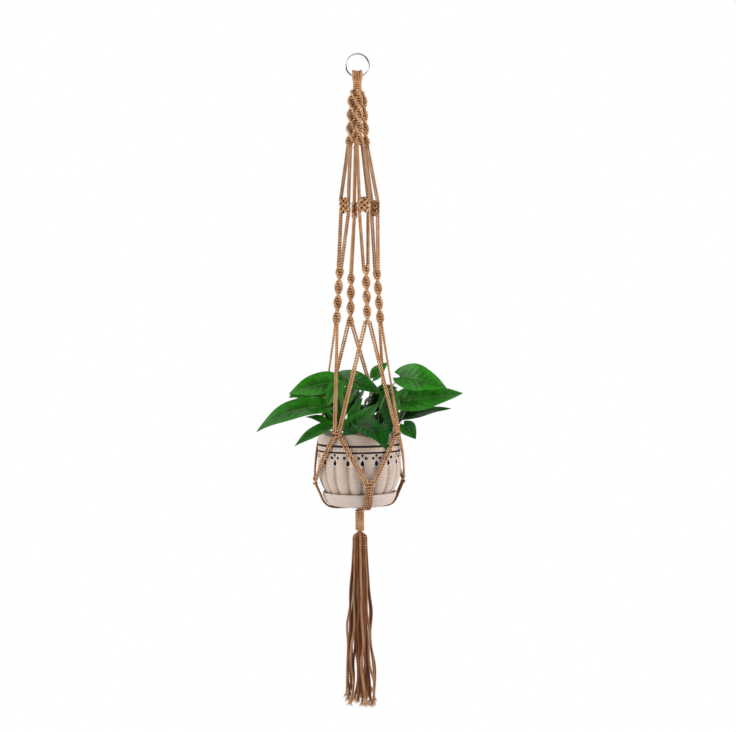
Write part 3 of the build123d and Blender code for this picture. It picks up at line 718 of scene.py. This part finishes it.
# Under strands: below each cradle knot four strands lie side by side, round the saucer and under it
# to the gather in the middle.
saucer_low, saucer_high = heights("saucer")
saucer_rim_r, saucer_base_r = 0.0592, 0.04275
under_z = saucer_low - 0.0021
under_route = (
    (cradle_r, cradle_low + 0.002),
    (saucer_rim_r + 0.0056, saucer_high - 0.001),
    (saucer_rim_r - 0.0005, saucer_low + 0.0066),
    (saucer_base_r + 0.0066, saucer_low - 0.0017),
    (0.029, under_z - 0.0006),
    (0.0158, under_z - 0.0004),
    (0.007, under_z - 0.0004),
)
cord_pitch = 0.0034
# Painted shade: dusk darkens the under strands, and their two sides are shaded.
under_dusk, under_side_shade = 0.35, 0.8
for k, azimuth in enumerate(cradle_azimuths):
    strands = []
    for offset in row * cord_pitch:
        line = smooth_line([spot(r, azimuth, z, offset) for r, z in under_route])
        strands.append(rope(line, outward(azimuth) - (0, 0, 1), cord_r, under_dusk, ply_groove, under_side_shade))
    add_cords(f"under_strand_{k + 1}_cords", strands, f"under_strands_{k + 1}")

# Base gather and wrap: under the saucer the strands turn down together, and a cord is wound round
# them in ten turns.
gather_r, gather_turn = 0.0013, 14.0
base_core_r = 0.0045
base_turns = 10
base_top = -0.7286
base_bottom = base_top - base_turns * wrap_pitch - 2 * wrap_cord_r
gather = []
for azimuth in cradle_azimuths:
    for offset in row:
        route = [
            spot(0.0085, azimuth, under_z - 0.0004, offset * cord_pitch),
            spot(0.0045, azimuth, under_z - 0.0008, 0.8 * offset * cord_pitch),
            spot(0.0034, azimuth + gather_turn * offset, under_z - 0.0035),
            spot(0.0030, azimuth + gather_turn * offset, base_top - 0.004),
            spot(0.0029, azimuth + gather_turn * offset, base_top - 0.012),
        ]
        gather.append(rope(smooth_line(route), across(azimuth), gather_r))
add_cords("base_gather_cords", gather)
add_cords("base_wrap_cord", [wrap(base_core_r, base_top, base_turns)], "base_wrap")

# Tassel: the strands run out of the wrap's mouth, swell into shoulders below it and fall in long gentle
# bends. Painted shade darkens them, every other outer strand much more and the inner strands most, and
# each outer strand takes a little darker tone at random. Each is cut at its own length, and its end has
# frayed.
tassel_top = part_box("tassel_head")[0].z
outer_r = 0.0085
tassel_layers = (
    (outer_r, (
        (4, 6, 0.0205, 0.262), (30, -4, 0.0185, 0.268), (55, 4, 0.0210, 0.271), (81, 6, 0.0230, 0.270),
        (107, -4, 0.0215, 0.264), (132, 5, 0.0190, 0.266), (158, -3, 0.0180, 0.259), (184, 3, 0.0200, 0.262),
        (210, -5, 0.0190, 0.266), (235, -4, 0.0215, 0.263), (261, 5, 0.0235, 0.257), (287, -5, 0.0220, 0.260),
        (312, -2, 0.0195, 0.268), (338, 4, 0.0185, 0.265),
    )),
    (0.0051, (
        (22, 12, 0.0155, 0.267), (67, 8, 0.0140, 0.270), (112, 14, 0.0160, 0.265), (157, 9, 0.0135, 0.262),
        (202, 12, 0.0150, 0.268), (247, 10, 0.0160, 0.264), (292, 15, 0.0140, 0.261), (337, 9, 0.0150, 0.269),
    )),
    (0.0017, ((0, 20, 0.0070, 0.267), (180, 26, 0.0080, 0.263))),
)
tassel_list = [(top_r, *strand) for top_r, strands in tassel_layers for strand in strands]
tassel_stations = np.array([0.14, 0.24, 0.34, 0.45, 0.56, 0.67, 0.78, 0.89, 1.0])
mouth_z = base_bottom + 0.004
mouth_route = ((0.12, 0.0), (0.16, 0.0042), (0.54, 0.0080), (1.16, 0.0110), (1.22, 0.018), (1.2, 0.027))
mouth_slim, mouth_len = 0.7, 0.010
tassel_wander = 0.0040
tassel_cord_r = 0.0021
tassel_groove = 0.42
tassel_dusks, inner_dusk = (0.9, 0.2), 0.95
fray_fibres = 40
fray_len = 0.009
fray_r = 0.0003
# Painted shade: dusk darkens the frayed fibres.
fray_ply, fray_dusk = 0.85, 0.35
draw = np.random.default_rng(7)


def frayed_end(tip, ahead, first_angle):
    """Fibres of a cord's end: fibre i leaves the tip at its own angle and moves away from the cord's line
    as t^0.9 along its length, so the end opens like a small brush."""
    fibres = []
    side = unit(np.cross(ahead, (0.3, 1.0, 0.1)))
    up = np.cross(ahead, side)
    t = np.linspace(0, 1, 7)[:, None]
    for i in range(fray_fibres):
        a = first_angle + 2.4 * i
        root = 0.8 * cord_r * np.sqrt((i + 0.5) / fray_fibres)
        away = np.cos(a) * side + np.sin(a) * up
        long = fray_len * (0.55 + 0.45 * draw.random())
        spread = (0.0020 + 0.0030 * draw.random()) * t**0.9
        line = tip - 0.002 * ahead + away * root + ahead * long * t + away * spread
        points, quads, caps = tube(line, up, np.tile(fray_r * (1 - 0.7 * t), (1, 4)), 4)
        lay = np.tile([0.001 * i, 0.0, fray_dusk], (len(points), 1))
        fibres.append((points, quads, caps, np.full(len(points), fray_ply), lay))
    return fibres


def hanging(azimuth, turn, top_r, tip_r, long):
    """Points of a strand's fall: at part p the radius goes from 1.18 top_r to tip_r as
    0.75 sin(p pi / 2)^1.1 + 0.25 p^5, the azimuth turns by 2.5 turn p, and the height falls evenly."""
    share = 0.75 * np.sin(tassel_stations * np.pi / 2) ** 1.1 + 0.25 * tassel_stations**5
    radius = 1.18 * top_r + (tip_r - 1.18 * top_r) * share
    turns = azimuth + 2.5 * turn * tassel_stations
    z = tassel_top - (long - 0.01) * tassel_stations
    return outward(turns) * radius[:, None] + np.stack([0 * z, 0 * z, z], 1)


frays = []
nodes = ["tassel_strands", "tassel_head"]
for number, (top_r, azimuth, turn, tip_r, long) in enumerate(tassel_list, 1):
    fall = hanging(azimuth, turn, top_r, tip_r, long)
    mouth = [spot(share * top_r, azimuth, mouth_z - drop) for share, drop in mouth_route]
    astray = draw.normal(0, tassel_wander, fall.shape) * (1, 1, 0) * tassel_stations[:, None] ** 1.2
    line = smooth_line(mouth + list(fall + astray))
    frays += frayed_end(line[-1], unit(line[-1] - line[-6]), azimuth)
    # Painted shade: the inner strands darkest, the outer ones by turns, with a little random tone on top.
    dusk = inner_dusk if top_r < outer_r else tassel_dusks[number % 2] + 0.2 * draw.random()
    grown = np.clip(np.arange(len(line)) * cord_step / mouth_len, 0, 1)
    thick = tassel_cord_r * (mouth_slim + (1 - mouth_slim) * grown)
    strand = [rope(line, across(azimuth), thick, dusk, tassel_groove)]
    piece = add_piece(f"tassel_strand_{number:02d}", strand, cotton, "tassel", nodes)
add_piece("tassel_frays", frays, cotton, "tassel", nodes)

# Saucer: a plain dish of pale clay, turned on a wheel, its wall swept up to a rounded rim. It lies loose
# on the under strands and carries the pot.
saucer_floor = 0.0035
saucer_around = 192
clay_tones = (0.40, 0.32, 0.27, 1), (0.485, 0.40, 0.345, 1)
clay_fleck = (0.3, 0.22, 0.16, 1)


def turned(profile, around, swell=None):
    """Surface of revolution: ring i is at radius r_i and height z_i, with swell added to the radius at
    each ring and angle. The ends of the profile lie on the axis and are closed to a point."""
    ends = [[0, 0, profile[0][1]], [0, 0, profile[-1][1]]]
    r, z = np.array(profile[1:-1]).T[..., None]
    a = np.linspace(0, 2 * np.pi, around, endpoint=False)
    radius = np.broadcast_to(r + (swell(np.degrees(a)[None], z, r) if swell else 0), (len(r), around))
    rings = np.stack([radius * np.sin(a), -radius * np.cos(a), np.broadcast_to(z, radius.shape)], -1)
    points = np.concatenate([rings.reshape(-1, 3), ends])
    return points, grid_faces(len(r), around, True), cap_faces(radius.size, around)


def curve_through(points, count):
    """Even points on a smooth curve that follows a few profile points (radius, height)."""
    made = smooth_line([(r, 0, z) for r, z in points])
    pick = np.linspace(0, len(made) - 1, count).round().astype(int)
    return [tuple(p) for p in made[pick][:, [0, 2]]]


def tinted(tone, mask, amount, colour):
    """Tone with an amount of a colour laid over it where the mask is 1."""
    return mixed(calc("MULTIPLY", mask, amount), tone, colour)


outside = [
    (saucer_base_r - 0.002, saucer_low),
    (saucer_base_r, saucer_low + 0.0002),
    (saucer_base_r + 0.008, saucer_low + 0.0028),
    (saucer_rim_r - 0.0045, saucer_low + 0.0075),
    (saucer_rim_r - 0.0006, saucer_low + 0.0155),
    (saucer_rim_r, saucer_high - 0.0016),
    (saucer_rim_r - 0.0002, saucer_high),
]
inside = [
    (saucer_rim_r - 0.0014, saucer_high + 0.0002),
    (saucer_rim_r - 0.0030, saucer_high),
    (saucer_rim_r - 0.0033, saucer_high - 0.0025),
    (saucer_rim_r - 0.0055, saucer_low + 0.012),
    (saucer_base_r + 0.006, saucer_low + 0.0055),
    (saucer_base_r + 0.001, saucer_low + saucer_floor),
    (saucer_base_r - 0.002, saucer_low + saucer_floor),
]
clay, tree, shader, where = new_material("pale_clay")
cloud = noise(where, 38.0)
fleck = fade(noise(where, 700.0, 2.0), 0.62, 0.7)
tone = tinted(mixed(cloud, *clay_tones), fleck, 0.25, clay_fleck)
plug(shader, {"Base Color": tone, "Roughness": fade(cloud, 0.2, 0.8, 0.38, 0.52)})
rough(shader, noise(where, 260.0, 4.0), 0.12, 0.0004)
walls = curve_through(outside, 30) + curve_through(inside, 30)
dish = turned([(0, saucer_low)] + walls + [(0, saucer_low + saucer_floor)], saucer_around)
add_piece("saucer_dish", [dish], clay, "saucer", ["saucer"])

# Pot: slip-cast clay with eighteen lobes below a round collar. Fine level grooves cross the lobes, the
# rim dips in six waves, and two dark lines, dots and drops are painted round the shoulder.
pot_low, pot_rim = heights("pot")
pot_rim_r, pot_belly_r, pot_foot_r = 0.0663, 0.0672, 0.041
pot_wall, pot_floor = 0.005, 0.006
collar_h, belly_up = 0.030, 0.057
collar_z = pot_rim - pot_low - collar_h
lobes, lobe_depth, lobe_azimuth = 18, 0.0038, -5.4
groove_pitch, groove_depth = 0.0038, 0.0008
rim_waves, rim_wave_depth, rim_wave_h, rim_crest_azimuth = 6, 0.0047, 0.022, -7.0
pot_around = 432
pot_tones = (0.385, 0.296, 0.235, 1), (0.48, 0.385, 0.32, 1)
collar_shade_tone, speck_tone = (0.3, 0.22, 0.16, 1), (0.26, 0.18, 0.12, 1)
valley_shade_tone, bead_tone = (0.27, 0.17, 0.115, 1), (0.3, 0.19, 0.11, 1)
halo_highlight_tone, paint_tone = (0.7, 0.64, 0.57, 1), (0.006, 0.004, 0.006, 1)
paint_blur = 0.0003
motif_pitch = 0.0229
line_places = ((-0.6234, 0.0018), (-0.6332, 0.0015))
bead_count, bead_pitch, bead_place = 60, 0.0069, (0.0, -0.6280, 0.0016)
dot_place, side_dot_place = (0.0, -0.6373, 0.0021), (0.0057, -0.6413, 0.0023)
drop_shape, halo_highlight_shape = (-0.6438, 0.0100, 0.0034), (-0.6420, 0.0128, 0.0045)
rim_shade, valley_shade_fade, rib_fade = (-0.6225, -0.6205), (-0.652, -0.646), (-0.6345, -0.633)
ribs_per_lobe = 9


def pot_radius(height):
    """Outer radius over the lobes: a power curve from the foot to the belly, then in to the collar."""
    low = pot_belly_r - (pot_belly_r - pot_foot_r) * np.clip(1 - height / belly_up, 0, 1) ** 2
    part = np.clip((height - belly_up) / (collar_z - belly_up), 0, 1)
    return np.where(height < belly_up, low, pot_belly_r + (pot_rim_r - pot_belly_r) * part**2)


def lobe_swell(azimuth, z, r):
    """Lobes as |cos| waves, faded out towards the collar, with level grooves on them."""
    height = z - pot_low
    share = np.clip((collar_z + 0.004 - height) / 0.012, 0, 1)
    share = share * share * (3 - 2 * share)
    outer = r > pot_radius(height) - 0.5 * pot_wall
    crest = np.abs(np.cos(np.radians((azimuth - lobe_azimuth) * lobes / 2)))
    bulge = (crest**0.8 - 1) * lobe_depth
    groove = -groove_depth * (0.5 + 0.5 * np.cos(2 * np.pi * height / groove_pitch)) * crest
    return np.where(outer, share * (bulge + groove), 0.0)


height = np.linspace(0.0008, pot_rim - pot_low - 0.0015, 190)
outer_wall = np.stack([pot_radius(height), pot_low + height], 1)
lip = [
    (pot_rim_r - 0.0008, pot_rim - 0.0003),
    (pot_rim_r - 0.0025, pot_rim),
    (pot_rim_r - 0.0042, pot_rim - 0.0004),
]
down = height[::-6]
inner_r = np.maximum(pot_radius(down) - pot_wall - lobe_depth * (down < 0.08), 0.03)
inner_wall = np.stack([inner_r, pot_low + pot_floor + down * (1 - pot_floor / height[-1])], 1)
foot = [(0, pot_low), (pot_foot_r - 0.008, pot_low), (pot_foot_r - 0.0012, pot_low)]
profile = foot + outer_wall.tolist() + lip + inner_wall.tolist() + [(0, pot_low + pot_floor)]
points, quads, caps = turned(profile, pot_around, lobe_swell)
azimuth = np.arctan2(points[:, 0], -points[:, 1])
wave = 0.5 - 0.5 * np.cos(rim_waves * (azimuth - np.radians(rim_crest_azimuth)))
near_rim = np.clip((points[:, 2] - (pot_rim - rim_wave_h)) / rim_wave_h, 0, 1) ** 1.5
points[:, 2] -= rim_wave_depth * wave * near_rim

glaze, tree, shader, where = new_material("painted_clay")
x, y, z = add_node(tree, "SeparateXYZ", where).outputs
turn = calc("DIVIDE", calc("ARCTAN2", x, calc("MULTIPLY", y, -1.0)), np.radians(360 / lobes))


def repeated(turns, pitch):
    """Place across a motif that repeats with every whole turn, from its middle."""
    return calc("MULTIPLY", calc("SUBTRACT", calc("FRACT", turns), 0.5), pitch)


def level_line(middle, half):
    """1 on a level line of a given half height."""
    off = calc("ABSOLUTE", calc("SUBTRACT", z, middle))
    return fade(off, half - paint_blur, half + paint_blur, 1.0, 0.0)


def dot(side, at_x, at_z, radius):
    """1 inside a round dot."""
    dx, dz = calc("SUBTRACT", side, at_x), calc("SUBTRACT", z, at_z)
    far = calc("SQRT", calc("ADD", calc("MULTIPLY", dx, dx), calc("MULTIPLY", dz, dz)))
    return fade(far, radius - paint_blur, radius + paint_blur, 1.0, 0.0)


def drop(top, long, half):
    """1 inside a drop: at share p of its length from the top its half width goes as
    p^1.1 sqrt(1 - p)."""
    p = add_node(tree, "Clamp", calc("DIVIDE", calc("SUBTRACT", top, z), long)).outputs[0]
    wide = calc("MULTIPLY", calc("POWER", p, 1.1), calc("SQRT", calc("SUBTRACT", 1.0, p)))
    edge = calc("SUBTRACT", motif_side, calc("MULTIPLY", wide, 2.55 * half))
    return fade(edge, -paint_blur, paint_blur, 1.0, 0.0)


motif_x = repeated(calc("ADD", turn, lobes - lobe_azimuth * lobes / 360), motif_pitch)
motif_side = calc("ABSOLUTE", motif_x)
bead_turn = calc("ADD", calc("MULTIPLY", turn, bead_count / lobes), bead_count)
beads = dot(repeated(bead_turn, bead_pitch), *bead_place)
lines = calc("MAXIMUM", *[level_line(*place) for place in line_places])
dots = calc("MAXIMUM", dot(motif_x, *dot_place), dot(motif_side, *side_dot_place))
paint = calc("MAXIMUM", calc("MAXIMUM", lines, dots), drop(*drop_shape))
cloud = noise(where, 45.0)
# Painted shade on the collar, where the leaves above cast their shadow.
tone = mixed(fade(z, *rim_shade, 0.0, 0.2), mixed(cloud, *pot_tones), collar_shade_tone)
tone = tinted(tone, fade(noise(where, 800.0, 2.0), 0.6, 0.7), 0.3, speck_tone)
# Painted shade in the valleys between the lobes, on the lower body.
valley_shade = fade(motif_side, 0.0004, 0.0052, 0.62, 0.0)
tone = tinted(tone, valley_shade, fade(z, *valley_shade_fade, 1.0, 0.0), valley_shade_tone)
tone = tinted(tone, beads, 0.75, bead_tone)
# Painted highlight: a pale halo round each painted drop.
tone = tinted(tone, drop(*halo_highlight_shape), 0.7, halo_highlight_tone)
gloss = calc("MAXIMUM", paint, fade(cloud, 0.2, 0.8, 0.2, 0.32))
plug(shader, {"Base Color": mixed(paint, tone, paint_tone), "Roughness": gloss})
ribs = calc("SINE", calc("MULTIPLY", turn, 2 * np.pi * ribs_per_lobe))
ribs = calc("MULTIPLY", calc("MULTIPLY", ribs, fade(z, *rib_fade)), 0.5)
rough(shader, calc("ADD", ribs, calc("MULTIPLY", noise(where, 300.0, 4.0), 0.4)), 0.35, 0.0004)
add_piece("pot_body", [(points, quads, caps)], glaze, "pot", ["pot"])

# Soil: dark potting mix of peat and bark, heaped a little in the middle. It fills the pot to below its
# rim and holds the plant.
soil_low, soil_top = heights("soil")
soil_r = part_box("soil")[1].x
soil_around = 96
soil_tones = (0.012, 0.008, 0.005, 1), (0.075, 0.045, 0.025, 1)
heap_h, heap_edge = 0.0015, 0.0016


def crumbs(azimuth, z, r):
    """Small lumps on the soil's surface, as a product of sines in radius and azimuth."""
    lumps = np.sin(700 * r + 3 * np.radians(azimuth) * 7) * np.sin(np.radians(azimuth) * 23 + 400 * r)
    return 0.0006 * lumps * (z > soil_top - 0.004)


humus, tree, shader, where = new_material("potting_soil")
clod = noise(where, 240.0, 6.0)
plug(shader, {"Base Color": mixed(fade(clod, 0.35, 0.7), *soil_tones), "Roughness": 0.95})
rough(shader, clod, 1.0, 0.002)
r = np.linspace(0.004, soil_r - heap_edge, 40)
z = soil_top + heap_h * np.cos(r / soil_r * np.pi / 2) + 0.0005 * np.sin(900 * r)
side = [(soil_r - heap_edge, soil_top - 0.004), (soil_r - 0.012, soil_low + 0.02), (0, soil_low + 0.02)]
heap = [(0, soil_top + heap_h)] + np.stack([r, z], 1).tolist() + side
add_piece("soil_heap", [turned(heap[::-1], soil_around, crumbs)], humus, "pot", ["soil"])

# Leaves: glossy heart-shaped blades of a pothos, folded a little along the midrib, with curved side
# veins, a drawn-out tip and a few pale flecks.
leaf_list = (
    ((-0.03, -0.008), (-0.0534, -0.03, 0.0397), (-0.1583, -0.062, 0.0046), 0.056, -46, 0.02, 0.5),
    ((-0.038, -0.022), (-0.044, -0.038, 0.012), (-0.099, -0.068, -0.0172), 0.03, -40, 0.006, 0.5),
    ((-0.024, -0.002), (-0.037, -0.004, 0.0805), (-0.1116, -0.014, 0.0618), 0.054, -66, 0.007, 0.75),
    ((-0.022, -0.014), (-0.0298, -0.024, 0.0773), (-0.0508, -0.036, 0.0423), 0.034, -55, 0.006, 0.8),
    ((-0.03, 0.01), (-0.0295, 0, 0.0875), (0.0376, -0.008, 0.0593), 0.042, 64, 0.012, 0.25),
    ((0.012, 0.01), (0.0234, 0.018, 0.086), (0.047, 0.018, 0.111), 0.03, 60, 0.003, 0.65),
    ((-0.006, -0.016), (-0.0124, -0.012, 0.0174), (0.0057, -0.008, 0.0549), 0.026, 50, 0.004, 0.5),
    ((-0.008, -0.034), (-0.0204, -0.037, 0.005), (0.0302, -0.034, 0.0465), 0.042, 66, -0.007, 0.45),
    ((0.016, -0.03), (0.012, -0.041, 0.004), (0.0418, -0.079, -0.0229), 0.066, 12, 0.012, 0.0),
    ((0.026, -0.004), (0.065, -0.01, 0.088), (0.1387, -0.02, 0.07), 0.062, 66, 0.01, 0.75),
    ((0.032, 0.004), (0.0623, -0.002, 0.0476), (0.1658, -0.01, 0.0613), 0.06, 64, 0.002, 0.65),
    ((0.03, 0.018), (0.0686, 0.02, 0.0203), (0.1489, 0.014, 0.0359), 0.032, 40, 0.004, 0.1),
    ((0.042, -0.008), (0.071, -0.006, 0.012), (0.09, -0.014, -0.0114), 0.036, 55, 0.003, 0.3),
    ((0.018, 0.024), (0.0307, 0.026, 0.0623), (0.0626, 0.03, 0.0693), 0.028, 50, 0.003, 0.4),
    ((-0.008, 0.028), (-0.012, 0.052, 0.042), (-0.03, 0.12, 0.012), 0.046, 0, 0.01, 0.4),
)
rim_centre = np.array([0, 0, pot_rim])
leaf_fold = 0.22
leaf_rows, leaf_columns = 64, 33
leaf_t = 0.0006
leaf_veins, vein_sweep = 7, 0.22
fine_veins = 8 * leaf_veins
midrib_shade_greens = (0.002, 0.028, 0.002, 1), (0.010, 0.105, 0.002, 1)
fresh_greens = (0.004, 0.076, 0.004, 1), (0.026, 0.230, 0.005, 1)
vein_green, midrib_green, fleck_green = (0.16, 0.3, 0.1, 1), (0.16, 0.32, 0.08, 1), (0.42, 0.55, 0.2, 1)


def leaf_frame(base, tip, roll):
    """Start, way along, side and up of a blade, rolled about its midrib."""
    start, end = np.array(base) + rim_centre, np.array(tip) + rim_centre
    along = end - start
    side = unit(np.cross(along, (0, 0, 1)))
    up = np.cross(side, unit(along))
    a = np.radians(roll)
    return start, along, side * np.cos(a) - up * np.sin(a), up * np.cos(a) + side * np.sin(a)


def blade(base, tip, width, roll, arch):
    """Blade over s from base to tip and t across: half width goes as s^0.45 (1 - s)^1.02, the lobes
    reach back by t^2 (1 - s)^6, the sides lift as |t|^1.2, the midrib arches as s (1 - s), the edges
    wave and the skin swells between side veins at s - 0.22 |t| = k / 7."""
    start, along, side, up = leaf_frame(base, tip, roll)
    s, t = np.meshgrid(np.linspace(0, 1, leaf_rows) ** 1.25, np.linspace(-1, 1, leaf_columns), indexing="ij")
    out = np.abs(t)
    plump = 1.78 * (s + 0.004) ** 0.45 * (1.002 - s) ** 1.02
    half = plump * width / 2
    back = 0.13 * t**2 * (1 - s) ** 6
    lift = leaf_fold * half * out**1.2
    wave = 0.05 * width * t**2 * np.sin(3 * np.pi * s + 1.3 * np.sign(t)) * plump
    quilt = 0.0011 * np.abs(np.sin(np.pi * leaf_veins * (s - vein_sweep * out))) * np.sin(np.pi * out) * plump
    rise = 4 * arch * s * (1 - s) + lift + wave + quilt - 0.0006 * np.exp(-((t / 0.06) ** 2)) * (1 - s)
    points = start + (s - back)[..., None] * along + (half * t)[..., None] * side + rise[..., None] * up
    return points.reshape(-1, 3), np.stack([s, t], -1).reshape(-1, 2)


leaf_skin, tree, shader, where = new_material("pothos_leaf")
blade_at = attribute(tree, "blade")["Vector"]
s, t, tint = add_node(tree, "SeparateXYZ", blade_at).outputs
side = calc("ABSOLUTE", t)
sweep = calc("SUBTRACT", s, calc("MULTIPLY", side, vein_sweep))
ridge = calc("COSINE", calc("MULTIPLY", sweep, 2 * np.pi * leaf_veins))
veins = calc("MULTIPLY", fade(ridge, 0.86, 1.0), fade(side, 0.75, 0.95, 1.0, 0.0))
midrib = fade(side, 0.015, 0.05, 1.0, 0.0)
fine = calc("SINE", calc("MULTIPLY", sweep, 2 * np.pi * fine_veins))
cloud = noise(where, 60.0)
broad = calc("ADD", calc("MULTIPLY", side, 0.5), cloud)
# Painted shade: each blade's green darkens towards the midrib, where it folds, and random cloudy patches vary
# it; tint sets how light each blade's greens are.
tone = mixed(fade(broad, 0.4, 1.0), mixed(tint, *midrib_shade_greens), mixed(tint, *fresh_greens))
tone = tinted(tone, veins, 0.12, vein_green)
tone = tinted(tone, midrib, 0.4, midrib_green)
fleck_at = add_node(tree, "Mapping", blade_at, Scale=(5.0, 9.0, 7.0))
tone = tinted(tone, fade(noise(fleck_at.outputs[0], 2.2), 0.68, 0.74), 0.7, fleck_green)
plug(shader, {"Base Color": tone, "Roughness": fade(cloud, 0.2, 0.8, 0.2, 0.36), "Specular IOR Level": 0.3})
relief = calc("ADD", calc("MULTIPLY", fine, 0.12), calc("MULTIPLY", veins, -0.8))
rough(shader, relief, 0.35, 0.0005)


def add_leaves(name, leaves, node):
    """Blades as one piece with a thin solid wall; each carries s, t and its tint."""
    surfaces = []
    marks = []
    faces = grid_faces(leaf_rows, leaf_columns, False)
    for base, tip, width, roll, arch, tint in leaves:
        points, where_on = blade(base, tip, width, roll, arch)
        surfaces.append((points, faces, np.empty((0, 3), int)))
        marks.append(np.c_[where_on, np.full(len(points), tint)])
    piece = add_piece(name, surfaces, leaf_skin, "pot", [node])
    layer = piece.data.attributes.new("blade", "FLOAT_VECTOR", "POINT")
    layer.data.foreach_set("vector", np.concatenate(marks).astype(np.float32).ravel())
    wall = piece.modifiers.new("wall", "SOLIDIFY")
    wall.thickness = leaf_t
    wall.offset = 0.0
    return piece


for number, leaf in enumerate(leaf_list, 1):
    add_leaves(f"leaf_{number:02d}_blade", [leaf[1:]], f"leaf_{number:02d}")

# Inner leaves: smaller blades of the same plant, deep in the crown among the stalks. They close the gaps
# between the outer leaves.
inner_leaves = (
    ((0.0499, 0.010, 0.0626), (0.0476, -0.010, 0.0073), 0.050, 0, 0.004, 0.3),
    ((-0.0066, 0.012, 0.0709), (-0.0266, -0.004, 0.0353), 0.040, -20, 0.004, 0.7),
    ((-0.0429, 0.006, 0.039), (-0.0337, -0.012, 0.0015), 0.040, 0, 0.004, 0.5),
    ((0.0014, 0.020, 0.0626), (-0.0148, 0.004, 0.0181), 0.044, 0, 0.004, 0.25),
    ((-0.0783, -0.004, 0.0716), (-0.1112, -0.014, 0.0553), 0.034, -60, 0.004, 0.4),
    ((0.0253, -0.010, 0.0274), (0.0062, -0.030, 0.0048), 0.040, 0, 0.004, 0.2),
    ((0.0554, -0.004, 0.0289), (0.0489, -0.020, 0.0), 0.040, 0, 0.004, 0.15),
    ((0.0401, 0.030, 0.0621), (0.0153, 0.006, 0.0178), 0.046, 0, 0.004, 0.1),
    ((-0.0547, 0.004, 0.0673), (-0.1108, -0.010, 0.0576), 0.046, -60, 0.004, 0.3),
    ((-0.0375, -0.020, 0.0036), (-0.0840, -0.034, 0.0260), 0.036, -30, 0.006, 0.45),
    ((0.0659, 0.012, 0.0402), (0.0333, 0.000, 0.0068), 0.046, 0, 0.004, 0.1),
    ((-0.0189, 0.016, 0.0547), (-0.0340, 0.000, 0.0160), 0.040, -10, 0.004, 0.6),
    ((0.0074, 0.010, 0.0386), (-0.0067, -0.010, 0.0036), 0.036, 10, 0.004, 0.55),
    ((0.0824, 0.020, 0.0378), (0.0596, 0.010, 0.0020), 0.040, 0, 0.004, 0.1),
    ((-0.0551, 0.010, 0.0470), (-0.0428, -0.004, 0.0035), 0.044, 0, 0.004, 0.35),
    ((-0.0020, -0.048, 0.0150), (0.0380, -0.078, -0.0180), 0.056, 20, 0.008, 0.0),
    ((0.0379, 0.022, 0.0664), (0.0061, 0.010, 0.0366), 0.042, 10, 0.004, 0.05),
    ((0.0539, 0.016, 0.0462), (0.0252, 0.004, 0.0006), 0.050, 0, 0.004, 0.0),
    ((0.0356, 0.010, 0.0364), (0.0012, 0.002, 0.0028), 0.040, 10, 0.004, 0.1),
)
add_leaves("inner_leaves", inner_leaves, "petioles")

# Petioles: smooth green leaf stalks, a little thicker at the root. Each comes up from the soil and bends
# over into the base of its leaf.
stalk_r = 0.0012
stalk_taper = (1.25, 0.7)
stalk_sides = 10
stalk_greens = (0.06, 0.16, 0.03, 1), (0.16, 0.3, 0.07, 1)
stalk_skin, tree, shader, where = new_material("leaf_stalk")
plug(shader, {"Base Color": mixed(noise(where, 120.0, 2.0), *stalk_greens), "Roughness": 0.4})
stalks = []
for root, base, tip, width, roll, arch, tint in leaf_list:
    start = np.array([root[0], root[1], soil_top - 0.003])
    end = np.array(base) + rim_centre
    lean = end - start
    knee = start + lean * (0.3, 0.3, 0.7)
    into = end + 0.04 * (np.array(tip) - np.array(base))
    line = smooth_line([start, start + lean * (0.06, 0.06, 0.3), knee, end, into], 0.002)
    taper = np.linspace(*stalk_taper, len(line))[:, None]
    stalks.append(tube(line, (1, 0.2, 0), stalk_r * np.tile(taper, (1, stalk_sides)), stalk_sides))
add_piece("leaf_stalks", stalks, stalk_skin, "pot", ["petioles"])
